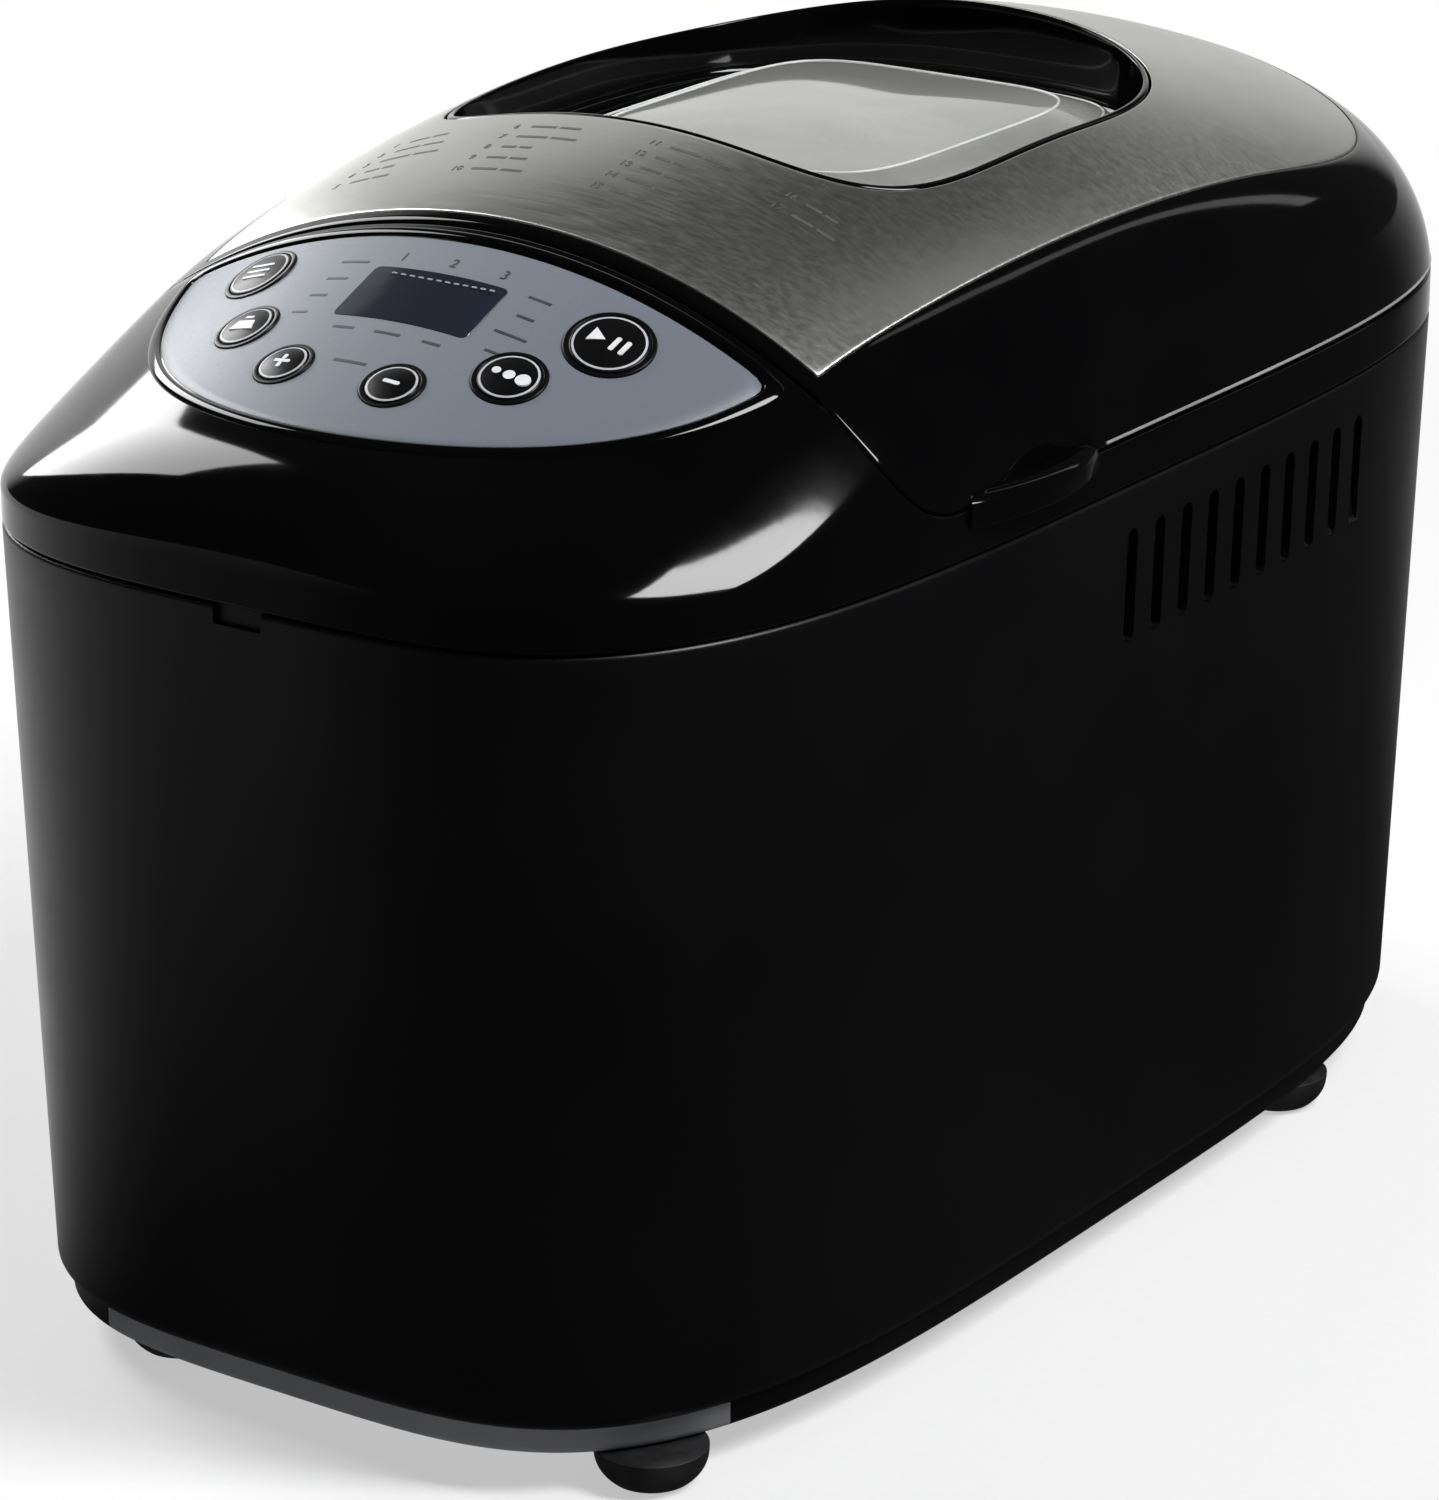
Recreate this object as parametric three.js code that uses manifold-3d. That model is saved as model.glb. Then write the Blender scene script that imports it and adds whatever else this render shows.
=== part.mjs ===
// Bread machine with a hinged, windowed lid, a sloping control panel and a two-paddle bread pan.
// Millimetres, +Z up. X runs across the machine, the control panel faces -Y, the floor is z = 0.

import * as THREE from "three";
import { mergeVertices } from "three/addons/utils/BufferGeometryUtils.js";
import Module from "manifold-3d";

const wasm = await Module();
wasm.setup();

// ---- driving dimensions ----------------------------------------------------------------

const gap = 0.3;                 // clearance between pieces that seat on each other
const sideSteps = 20;            // points along half of each large outline
const roundSteps = 16;           // facets of a round piece

// outer casing: a rounded rectangle in plan, |x/a|^n + |y/b|^n = 1, wider at the top
const halfWidth = 120;
const halfDepth = 214;
const casingPower = 3.85;
const casingDraft = 5.4;         // how much each side comes in at the bottom edge
const casingBottom = 16;
const seam = 213.6;              // where the control hood stands on the body shell
const casingWall = 2.6;

// upper envelope shared by hood and lid
const hoodRise = 12.4;           // from the seam up to the lid's lower edge
const lidEdge = seam + hoodRise;
const flankBase = lidEdge + 3;   // the sides are upright up to here
const flankPower = 1.9;
const sideShoulder = 18;         // from the casing in to the crease, where the sides turn into the top
const frontShoulder = 22;
const rearShoulder = 29;
const creaseMiddle = 70;
const creaseFrontPower = 4.6;
const creaseRearPower = 3.3;
const creaseHalfWidth = halfWidth - sideShoulder;
const creaseFront = halfDepth - frontShoulder + creaseMiddle;
const creaseRear = halfDepth - rearShoulder - creaseMiddle;
const apexHeight = 305.2;
const apexY = 25.4;
const domeDrop = 50.0665;        // fall of the dome from its apex to the front of the crease
const domeRadius = (halfDepth - frontShoulder + apexY) ** 2 / (2 * domeDrop);
const crownRadius = 183;         // curvature of the top from side to side
const slopeRise = 0.435;         // rise per millimetre of the sloping front
const slopeY = 80.6 - halfDepth; // where the slope's height is set
const slopeDrop = 3.0866;        // how far it lies under the dome there
const slopeZ = apexHeight - (slopeY - apexY) ** 2 / (2 * domeRadius) - slopeDrop;

// parting between hood and lid
const partingY = 98 - halfDepth;
const cornerRadius = 26;         // lower front corner of the lid, at its sides
const cornerInnerRadius = 6;     // the same corner further in
const cornerInset = 22;          // from the casing in to where the lid's front is upright
const cornerInnerX = halfWidth - cornerInset;
const lidWall = 3.2;

// lid hinge
const hingeY = halfDepth - 10;
const hingeZ = lidEdge + 4;
const hingeX = 36;               // centre of each hinge
const hingeGroove = 12.6;        // radius kept free round the hinge line in the hood
const hingePin = 2;
const hingeKnuckle = 4.4;
const knuckleHalf = 2.7;         // half the length of the lid's knuckle on each pin
const bracketHalf = 8;           // half the length of the bracket outside it
const hingeSlot = 77;            // half the length of the groove

// lid lips
const lipMiddle = -58;
const lipLength = 58;
const lipReach = 5.6;
const lipDrop = 5;
const lipRise = 3.2;

// lid cover and window
const coverThick = 1;
const coverFront = partingY + 5;
const coverFrontHalf = creaseHalfWidth - 10;
const coverBow = 0.000302;
const wellHalfWidth = 76;
const wellMiddle = 25;
const wellFront = 82.4;
const wellFrontPower = 4.7;
const wellRear = 85;
const wellRearPower = 2.9;
const wellFloor = 275;
const glassMargin = 19;          // from the well's upper edge in to the glass, at the sides
const glassHalfWidth = wellHalfWidth - glassMargin;
const glassMiddle = 32;
const glassHalfLength = 67;
const glassPower = 5;
const glassThick = 5;
const glassDome = 5;
const glassLedge = 5;

// control panel
const panelTop = partingY - 6;
const panelHalfChord = 86;
const panelDepth = 67.3;
const filmThick = 0.6;
const displayWidth = 40;
const displayHeight = 18.4;
const displayY = panelTop - 20.5;
const buttonTravel = 0.8;
const buttonProud = 1.4;
const ringProud = 0.9;
const ringWidth = 1.1;
const ringDeep = 1.4;
const boardDepth = 21;           // control board under the middle of the panel
const boardWidth = 136;
const boardHeight = 52;
const boardThick = 1.6;
const boardY = panelTop - 32;
const bossX = 64;                // bosses under the hood that hold the control board
const bossRows = [-22, -5];
const bossStem = 3.2;
const stemRadius = 3;
const stemLength = 5.5;
const stemBelow = 2.4;           // how far a button's stem goes below its flange
const buttonPlaces = [           // middle of each button: across, and down from the panel's upper edge
    { name: "menu", x: -55.9, down: 11.4, radius: 9.9 },
    { name: "weight", x: -42.1, down: 34, radius: 8.7 },
    { name: "plus", x: -19.6, down: 48.1, radius: 7.8 },
    { name: "minus", x: 13.2, down: 48.8, radius: 8.1 },
    { name: "colour", x: 37.2, down: 35.4, radius: 9.2 },
    { name: "start", x: 51, down: 14.8, radius: 11.1 },
];
const buttons = buttonPlaces.map(({ down, ...rest }) => ({ ...rest, y: panelTop - down }));

// vents, feet, base, gland
const ventCount = 10;
const ventPitch = 13.3;
const ventFirst = -11.3;
const ventWidth = 5;
const ventLow = 172;
const ventHigh = 202;
const footRadius = 14;
const footContact = 9.2;
const feet = [                   // the front left foot stands further in than the right one
    { name: "front_left", x: 68 - halfWidth, y: 33 - halfDepth },
    { name: "front_right", x: halfWidth - 32, y: 40 - halfDepth },
    { name: "rear_left", x: 23 - halfWidth, y: halfDepth - 101 },
    { name: "rear_right", x: halfWidth - 23, y: halfDepth - 101 },
];
const baseBottom = 9.5;
const baseTop = 22;
const baseWall = 2.4;
const baseSlots = 6;             // air slots through the base plate
const baseSlotPitch = 12;
const baseSlotWidth = 5;
const baseSlotHalf = 26;
const baseSlotFirst = -70;
const notchHalf = 7;             // finger notch in the front of the body's upper edge
const notchDeep = 5;
const glandX = -40;
const glandZ = 40;
const glandRadius = 5.6;
const glandCollar = 9;
const glandNut = 8;
const cordBore = 3.5;

// chassis and drive
const driveFront = -24;
const driveRear = 92;
const chassisZ = 52;
const chassisThick = 2;
const chassisHalfWidth = 82;
const chassisFront = 30 - halfDepth;
const chassisRear = 172;
const chassisCorner = 12;
const postRadius = 5;            // posts of the base plate that carry the chassis
const postX = 70;
const postRows = [chassisFront + 24, 0, chassisRear - 14];
const seatPostRadius = 6;        // posts of the chassis that carry the oven chamber
const seatPostX = 56;
const seatPostInset = 24;
const powerX = 64;               // power board: its lower front edge
const powerY = chassisFront + 10;
const powerLength = 54;
const powerHeight = 104;
const powerSeat = 5;             // how far its holder on the chassis comes up
const powerParts = [             // parts on it: reach, then spans along it and up it
    { reach: 25, along: [4, 36], up: [14, 46] },
    { reach: 18, along: [6, 24], up: [58, 76] },
    { reach: 14, along: [32, 48], up: [60, 92] },
];
const capacitor = { radius: 6, reach: 20, along: 44, up: 30 };
const shaftRadius = 4;
const bearingRadius = 9;
const bearingFlange = 3;
const couplingRadius = 13;       // disc with two dogs that turn the kneader
const dogReach = [7, 12];
const dogHalf = 3.5;
const dogHeight = 7;
const largePulley = 42;
const smallPulley = 20;
const lowBeltZ = 27;
const highBeltZ = 39.5;
const pulleyHeight = 9;
const beltThick = 2;
const beltHeight = 6.5;
const motorY = chassisFront + 26;
const motorRadius = 34;
const motorHeight = 84;
const motorPulley = 9;
const motorHub = 11;
const pulleyHub = 12;

// oven chamber
const chamberHalfWidth = 76;
const chamberFront = -100;
const chamberRear = 168;
const chamberFloor = 62;
const chamberWall = 1.2;
const chamberCorner = 20;
const chamberFlange = 10;
const couplingHole = 17;
const heaterRadius = 3.5;
const heaterZ = 75;
const heaterInset = 7;
const heaterEndX = 18;
const heaterBend = 6.9;
const sensorX = 42;
const sensorZ = 110;
const sensorRadius = 3;
const sensorFlange = 6;
const clipHalf = 8;              // springs that hold the pan at its two side lugs
const clipReach = 9;
const clipHeight = 8;
const clipThick = 1.2;

// bread pan
const panMiddle = (driveFront + driveRear) / 2;
const panHalfWidth = 66;
const panHalfLength = 122;
const panTaper = 6;
const panFloor = 72;
const panRim = 196;
const panWall = 1.5;
const panCorner = 20;
const panLip = 3;
const panLug = 6;
const panLugX = 48;
const panLugY = 96;
const earHalf = 7;               // ears of the pan that hold its handle
const earThick = 1.2;
const earBelow = 14;
const bossRadius = 10;
const bossTop = 84;
const wireRadius = 2.2;
const bailZ = 200;
const bailReach = 55;
const bailInset = 6;
const bailBend = 3.4;
const wingReach = 12.5;          // wing under each kneader shaft, turned by the dogs
const wingHalf = 2.5;
const wingLow = 1.5;
const wingHeight = 5;
const paddleReach = 38;
const paddleHub = 8.5;
const paddleTop = 108;
const bladeHeight = 16;
const blade = [[-3, -paddleHub + 1], [3, -paddleHub + 1], [4, 10], [3, paddleReach - 3],
    [0, paddleReach], [-3, paddleReach - 4], [-5, 12]];

// lid underside
const linerZ = 232;
const linerThick = 2;
const innerGlassInset = 11;      // inner glass inside the outer one, at the sides
const innerGlassHalfWidth = glassHalfWidth - innerGlassInset;
const innerGlassHalfLength = glassHalfLength - 9;
const innerGlassThick = 4;
const innerGlassCorner = 12;
const innerGlassSeat = 4;
const sealWidth = 4;

// ---- finishes --------------------------------------------------------------------------

const finish = (color, roughness, metalness = 0) =>
    new THREE.MeshStandardMaterial({ color, roughness, metalness });
const glossBlack = finish(0x0b0b0d, 0.12);
const satinBlack = finish(0x121214, 0.35);
const darkGrey = finish(0x3a3b3d, 0.55);
const rubber = finish(0x1d1d1e, 0.8);
const brushedSteel = finish(0x9b9b98, 0.3, 1);
const sheetSteel = finish(0xb4b5b6, 0.4, 1);
const silverTrim = finish(0xc9ccd2, 0.2, 1);
const filmBlue = finish(0xa9b3c4, 0.4);
const displayDark = finish(0x3c4559, 0.2);
const boardGreen = finish(0x1f6a3b, 0.6);
const aluminium = finish(0xa8abae, 0.45, 1);
const coatedGrey = finish(0x3b3a39, 0.5, 0.4);
const whiteMoulding = finish(0xd8d5cc, 0.6);
const silicone = finish(0x8a8d90, 0.7);
const beltBlack = finish(0x161616, 0.9);
const glassClear = new THREE.MeshStandardMaterial({
    color: 0xdfe6e6, roughness: 0.05, transparent: true, opacity: 0.35,
});

// ---- solids ----------------------------------------------------------------------------

function solid(geometry) {
    const plain = geometry.clone();
    plain.deleteAttribute("normal");
    plain.deleteAttribute("uv");
    const merged = mergeVertices(plain, 1e-4);
    return new wasm.Manifold(new wasm.Mesh({
        numProp: 3,
        vertProperties: new Float32Array(merged.attributes.position.array),
        triVerts: new Uint32Array(merged.index.array),
    }));
}

function geometryOf(shape) {
    const mesh = shape.getMesh();
    const geometry = new THREE.BufferGeometry();
    geometry.setAttribute("position", new THREE.BufferAttribute(mesh.vertProperties, 3));
    geometry.setIndex(new THREE.BufferAttribute(mesh.triVerts, 1));
    return geometry;
}

const joined = (...shapes) => shapes.reduce((whole, shape) => whole.add(shape));
const cut = (shape, ...tools) => tools.reduce((rest, tool) => rest.subtract(tool), shape);

function block(x0, x1, y0, y1, z0, z1) {
    const geometry = new THREE.BoxGeometry(x1 - x0, y1 - y0, z1 - z0);
    geometry.translate((x0 + x1) / 2, (y0 + y1) / 2, (z0 + z1) / 2);
    return solid(geometry);
}

function turned(profile, steps = roundSteps) {
    const geometry = new THREE.LatheGeometry(profile.map(([r, z]) => new THREE.Vector2(r, z)), steps);
    geometry.rotateX(Math.PI / 2);
    return solid(geometry);
}

// upright cylinder from z0 to z1
function rod(radius, x, y, z0, z1, steps = roundSteps) {
    const geometry = new THREE.CylinderGeometry(radius, radius, z1 - z0, steps);
    geometry.rotateX(Math.PI / 2);
    geometry.translate(x, y, (z0 + z1) / 2);
    return solid(geometry);
}

// cylinder along X
function crossRod(radius, x0, x1, y, z, steps = roundSteps) {
    const geometry = new THREE.CylinderGeometry(radius, radius, x1 - x0, steps);
    geometry.rotateZ(Math.PI / 2);
    geometry.translate((x0 + x1) / 2, y, z);
    return solid(geometry);
}

// cylinder along Y
function longRod(radius, x, y0, y1, z, steps = roundSteps) {
    const geometry = new THREE.CylinderGeometry(radius, radius, y1 - y0, steps);
    geometry.translate(x, (y0 + y1) / 2, z);
    return solid(geometry);
}

// prism of a plan outline
function upright(points, z0, z1) {
    const shape = new THREE.Shape(points.map(([x, y]) => new THREE.Vector2(x, y)));
    const geometry = new THREE.ExtrudeGeometry(shape, { depth: z1 - z0, bevelEnabled: false });
    geometry.translate(0, 0, z0);
    return solid(geometry);
}

// prism of a side outline given as (y, z), between x0 and x1
function sideways(points, x0, x1) {
    const shape = new THREE.Shape(points.map(([y, z]) => new THREE.Vector2(y, z)));
    const geometry = new THREE.ExtrudeGeometry(shape, { depth: x1 - x0, bevelEnabled: false });
    geometry.applyMatrix4(new THREE.Matrix4().set(
        0, 0, 1, x0,
        1, 0, 0, 0,
        0, 1, 0, 0,
        0, 0, 0, 1,
    ));
    return solid(geometry);
}

// skin over rings of equal length, each anticlockwise from above, from the lowest up and inwards;
// a loop joins its last ring to its first, otherwise both ends close on a middle point
function skin(rings, { loop = false, floor, peak } = {}) {
    const count = rings[0].length;
    const positions = rings.flat(2);
    const index = [];
    const last = loop ? rings.length : rings.length - 1;
    for (let k = 0; k < last; k += 1) {
        const low = k * count;
        const high = ((k + 1) % rings.length) * count;
        for (let i = 0; i < count; i += 1) {
            const next = (i + 1) % count;
            index.push(low + i, low + next, high + next, low + i, high + next, high + i);
        }
    }
    if (!loop) {
        const bottom = positions.length / 3;
        positions.push(...floor, ...peak);
        const top = (rings.length - 1) * count;
        for (let i = 0; i < count; i += 1) {
            const next = (i + 1) % count;
            index.push(bottom, next, i, bottom + 1, top + i, top + next);
        }
    }
    const geometry = new THREE.BufferGeometry();
    geometry.setAttribute("position", new THREE.Float32BufferAttribute(positions, 3));
    geometry.setIndex(index);
    return solid(geometry);
}

// tube of a round wire along straight runs with rounded bends
function wire(points, bend, radius, sides = 8, bendSteps = 3) {
    const path = new THREE.CurvePath();
    const corners = points.map((point) => new THREE.Vector3(...point));
    let from = corners[0];
    for (let i = 1; i < corners.length - 1; i += 1) {
        const before = corners[i - 1].clone().sub(corners[i]).setLength(bend).add(corners[i]);
        const after = corners[i + 1].clone().sub(corners[i]).setLength(bend).add(corners[i]);
        path.add(new THREE.LineCurve3(from, before));
        path.add(new THREE.QuadraticBezierCurve3(before, corners[i], after));
        from = after;
    }
    path.add(new THREE.LineCurve3(from, corners[corners.length - 1]));
    const stations = [];
    path.curves.forEach((curve) => {
        const steps = curve.isLineCurve3 ? 1 : bendSteps;
        for (let k = 0; k < steps; k += 1) stations.push(curve.getPoint(k / steps));
    });
    stations.push(corners[corners.length - 1]);
    const spine = new THREE.Curve();
    spine.getPoint = (t) => {
        const place = Math.min(t * (stations.length - 1), stations.length - 1 - 1e-9);
        const k = Math.floor(place);
        return stations[k].clone().lerp(stations[k + 1], place - k);
    };
    spine.getPointAt = spine.getPoint;
    spine.getTangentAt = (t) => {
        const k = Math.round(t * (stations.length - 1));
        const ahead = stations[Math.min(k + 1, stations.length - 1)];
        const behind = stations[Math.max(k - 1, 0)];
        return ahead.clone().sub(behind).normalize();
    };
    const section = new THREE.Shape();
    for (let i = 0; i < sides; i += 1) {
        const angle = 2 * Math.PI * i / sides;
        const place = [radius * Math.cos(angle), radius * Math.sin(angle)];
        if (i === 0) section.moveTo(...place);
        else section.lineTo(...place);
    }
    return solid(new THREE.ExtrudeGeometry(section, { steps: stations.length - 1, extrudePath: spine }));
}

// ---- outlines --------------------------------------------------------------------------

const power = (value, exponent) => Math.sign(value) * Math.abs(value) ** exponent;

// evenly spaced points along a polyline
function spaced(points, steps) {
    const reach = [0];
    for (let i = 1; i < points.length; i += 1) {
        const step = Math.hypot(points[i][0] - points[i - 1][0], points[i][1] - points[i - 1][1]);
        reach.push(reach[i - 1] + step);
    }
    const total = reach[reach.length - 1];
    const result = [];
    let k = 0;
    for (let i = 0; i <= steps; i += 1) {
        const place = total * i / steps;
        while (k < points.length - 2 && reach[k + 1] < place) k += 1;
        const share = (place - reach[k]) / (reach[k + 1] - reach[k]);
        result.push([0, 1].map((axis) => points[k][axis] + share * (points[k + 1][axis] - points[k][axis])));
    }
    return result;
}

// half of a rounded outline from its front middle over +X to its rear middle
function halfOutline({ halfX, middle = 0, front, frontPower, rear = front, rearPower = frontPower }) {
    const points = [];
    const fine = 720;
    for (let i = 0; i <= fine; i += 1) {
        const angle = Math.PI * (i / fine - 0.5);
        const exponent = 2 / (angle < 0 ? frontPower : rearPower);
        const reach = angle < 0 ? front : rear;
        points.push([
            halfX * power(Math.cos(angle), exponent),
            middle + reach * power(Math.sin(angle), exponent),
        ]);
    }
    points[0][0] = 0;
    points[fine][0] = 0;
    return points;
}

const mirrored = (half) => [...half, ...half.slice(1, -1).reverse().map(([x, y]) => [-x, y])];
const outline = (spec, steps = sideSteps) => mirrored(spaced(halfOutline(spec), steps));
const atHeight = (points, height) => points.map(([x, y]) => [x, y, height]);

const casingSpec = (inset) => ({
    halfX: halfWidth - inset,
    front: halfDepth - inset,
    frontPower: casingPower,
});
const creaseSpec = (inset) => ({
    halfX: creaseHalfWidth - inset,
    middle: creaseMiddle,
    front: creaseFront - inset,
    frontPower: creaseFrontPower,
    rear: creaseRear - inset,
    rearPower: creaseRearPower,
});
const wellSpec = (inset) => ({
    halfX: wellHalfWidth - inset,
    middle: wellMiddle,
    front: wellFront - inset,
    frontPower: wellFrontPower,
    rear: wellRear - inset,
    rearPower: wellRearPower,
});
const glassSpec = (inset) => ({
    halfX: glassHalfWidth - inset,
    middle: glassMiddle,
    front: glassHalfLength - inset,
    frontPower: glassPower,
});

// height of the crowned top over a plan position
function topHeight(x, y) {
    const dome = apexHeight - (y - apexY) ** 2 / (2 * domeRadius);
    const slope = slopeZ + slopeRise * (y - slopeY);
    const side = Math.min(Math.abs(x), crownRadius * 0.95);
    return Math.min(dome, slope) - (crownRadius - Math.sqrt(crownRadius ** 2 - side ** 2));
}

// the casing's outline point that faces a point of the crease
function wallPoint([x, y], inset) {
    const centre = 0.8 * y;
    let near = 1;
    let far = 4;
    for (let i = 0; i < 40; i += 1) {
        const k = (near + far) / 2;
        const side = Math.abs(k * x) / (halfWidth - inset);
        const along = Math.abs(centre + k * (y - centre)) / (halfDepth - inset);
        if (side ** casingPower + along ** casingPower > 1) far = k;
        else near = k;
    }
    return [near * x, centre + near * (y - centre)];
}

// body of the upper envelope, down to a given height
function envelope(inset, bottom) {
    const crease = outline(creaseSpec(inset));
    const wall = crease.map((point) => wallPoint(point, inset));
    const rings = [atHeight(wall, bottom), atHeight(wall, flankBase)];
    for (const turn of [0.3, 0.65, 1]) {
        const inwards = 1 - Math.cos(turn * Math.PI / 2) ** (2 / flankPower);
        const upwards = Math.sin(turn * Math.PI / 2) ** (2 / flankPower);
        rings.push(crease.map(([x, y], i) => {
            const top = topHeight(x, y) - inset;
            const [wallX, wallY] = wall[i];
            return [
                wallX + (x - wallX) * inwards,
                wallY + (y - wallY) * inwards,
                flankBase + (top - flankBase) * upwards,
            ];
        }));
    }
    for (const share of [0.84, 0.69, 0.6, 0.4, 0.2]) {
        rings.push(crease.map(([x, y]) => [share * x, share * y, topHeight(share * x, share * y) - inset]));
    }
    return skin(rings, { floor: [0, 0, bottom], peak: [0, 0, topHeight(0, 0) - inset] });
}

// rounded rectangle in plan
function roundedBox(x0, x1, y0, y1, radius, steps = 3) {
    const corners = [[x1 - radius, y0 + radius, -90], [x1 - radius, y1 - radius, 0],
        [x0 + radius, y1 - radius, 90], [x0 + radius, y0 + radius, 180]];
    return corners.flatMap(([x, y, start]) => Array.from({ length: steps + 1 }, (_, i) => {
        const angle = (start + 90 * i / steps) * Math.PI / 180;
        return [x + radius * Math.cos(angle), y + radius * Math.sin(angle)];
    }));
}

// side outline of everything above and behind the parting, rounded at its lower front corner
function behindParting(offset, radius, low, steps = 8) {
    const centreY = partingY + radius;
    const centreZ = lidEdge + radius;
    const reach = radius + offset;
    const points = [[300, 340], [partingY - offset, 340]];
    for (let i = 0; i <= steps; i += 1) {
        const angle = Math.PI * (1 + 0.5 * i / steps);
        points.push([centreY + reach * Math.cos(angle), centreZ + reach * Math.sin(angle)]);
    }
    if (low < lidEdge - offset) points.push([centreY, low]);
    points.push([300, Math.min(low, lidEdge - offset)]);
    return points;
}

// everything that belongs to the lid, grown by an offset
function lidSpace(offset, low = 1e3) {
    const inner = cornerInnerX + offset;
    return joined(
        sideways(behindParting(offset, cornerInnerRadius, low), -inner, inner),
        sideways(behindParting(offset, cornerRadius, low), -200, 200),
    );
}

// ---- assembly --------------------------------------------------------------------------

const machine = new THREE.Group();

function place(name, shape, material) {
    const mesh = new THREE.Mesh(geometryOf(shape), material);
    mesh.name = name;
    machine.add(mesh);
}

const both = [["left", -1], ["right", 1]];

// ---- body shell ------------------------------------------------------------------------

const narrow = (height) => casingDraft * (seam - height) / (seam - casingBottom);

// how far to the rear the wall is at the cord gland
const glandShare = (Math.abs(glandX) - glandCollar) / (halfWidth - narrow(glandZ));
const glandWall = (halfDepth - narrow(glandZ)) * (1 - glandShare ** casingPower) ** (1 / casingPower);

function casingSkin(inset, low, high) {
    const rings = [low, high].map((height) => atHeight(outline(casingSpec(inset + narrow(height))), height));
    return skin(rings, { floor: [0, 0, low], peak: [0, 0, high] });
}

function bodyShell() {
    let shell = cut(casingSkin(0, casingBottom, seam - gap), casingSkin(casingWall, 0, seam + 20));
    for (let i = 0; i < ventCount; i += 1) {
        const y = ventFirst + i * ventPitch;
        const half = ventWidth / 2;
        const slot = roundedBox(y - half, y + half, ventLow, ventHigh, half - 0.01, 1);
        shell = cut(shell, sideways(slot, -200, 200));
    }
    const notch = block(-notchHalf, notchHalf, -halfDepth - 1, -halfDepth + 10, seam - notchDeep, seam + 5);
    return cut(shell, notch, longRod(glandRadius + gap, glandX, glandWall - 50, glandWall + 30, glandZ, 16));
}
place("body_shell", bodyShell(), glossBlack);

// ---- base plate, feet and cord gland ---------------------------------------------------

const baseInset = casingDraft + casingWall + gap + 0.4;

function basePlate() {
    const outer = outline(casingSpec(baseInset));
    const inner = outline(casingSpec(baseInset + baseWall));
    let tray = cut(upright(outer, baseBottom, baseTop), upright(inner, baseBottom + baseWall, baseTop + 1));
    for (const y of postRows) {
        for (const [, side] of both) {
            tray = joined(tray, rod(postRadius, side * postX, y, baseBottom + 1, chassisZ - gap, 12));
        }
    }
    for (let i = 0; i < baseSlots; i += 1) {
        const y = baseSlotFirst + i * baseSlotPitch;
        tray = cut(tray, block(-baseSlotHalf, baseSlotHalf, y, y + baseSlotWidth, 0, baseTop));
    }
    return tray;
}
place("base_plate", basePlate(), darkGrey);

// half section of a foot: a dome that narrows to its flat underside
function footProfile() {
    const height = baseBottom - gap;
    const dome = [0, 0.22, 0.45, 0.7, 1].map((share) => {
        const spread = (footRadius - footContact) * (1 - share) ** 2.7;
        return [footRadius - spread, share * height];
    });
    return [[0, 0], ...dome, [0, height]];
}

for (const { name, x, y } of feet) {
    place(`foot_${name}`, turned(footProfile()).translate([x, y, 0]), rubber);
}

function cordGland() {
    const inside = glandWall - casingWall - 4;
    const body = joined(
        longRod(glandRadius, glandX, inside - 6, glandWall + 2, glandZ, 16),
        longRod(glandCollar, glandX, glandWall + gap, glandWall + 3, glandZ, 16),
        longRod(glandNut, glandX, inside - 2, inside, glandZ, 6),
    );
    return cut(body, longRod(cordBore, glandX, inside - 20, glandWall + 20, glandZ, 12));
}
place("cord_gland", cordGland(), satinBlack);

// ---- control panel geometry ------------------------------------------------------------

const panelRadius = (panelHalfChord ** 2 + panelDepth ** 2) / (2 * panelDepth);
const panelCentre = panelTop - panelDepth + panelRadius;

// plan outline of the lens-shaped panel, grown by an offset
function panelOutline(offset) {
    const radius = panelRadius + offset;
    const half = Math.asin(Math.min(1, (panelCentre - panelTop - offset) / radius));
    const points = [];
    const steps = 28;
    const from = Math.PI + half;
    for (let i = 0; i <= steps; i += 1) {
        const angle = from + (Math.PI - 2 * half) * i / steps;
        points.push([radius * Math.cos(angle), panelCentre + radius * Math.sin(angle)]);
    }
    return points;
}

// sheet that follows the crowned top between two depths under it, over a plan strip
function topSheet(shallow, deep, y0, y1) {
    const across = 14;
    const reach = panelHalfChord + 8;
    const stations = Array.from({ length: across + 1 }, (_, i) => reach * (2 * i / across - 1));
    const section = (y) => [
        ...stations.map((x) => [x, y, topHeight(x, y) - deep]),
        ...stations.map((x) => [x, y, topHeight(x, y) - shallow]).reverse(),
    ];
    const count = 2 * (across + 1);
    const positions = [y0, y1].flatMap(section).flat();
    const index = [];
    for (let i = 0; i < count; i += 1) {
        const next = (i + 1) % count;
        index.push(i, count + next, next, i, count + i, count + next);
    }
    for (let i = 0; i < across; i += 1) {
        const top = count - 1 - i;
        index.push(i, top - 1, top, i, i + 1, top - 1);
        index.push(count + i, count + top, count + top - 1, count + i, count + top - 1, count + i + 1);
    }
    const geometry = new THREE.BufferGeometry();
    geometry.setAttribute("position", new THREE.Float32BufferAttribute(positions, 3));
    geometry.setIndex(index);
    return solid(geometry);
}

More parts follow.
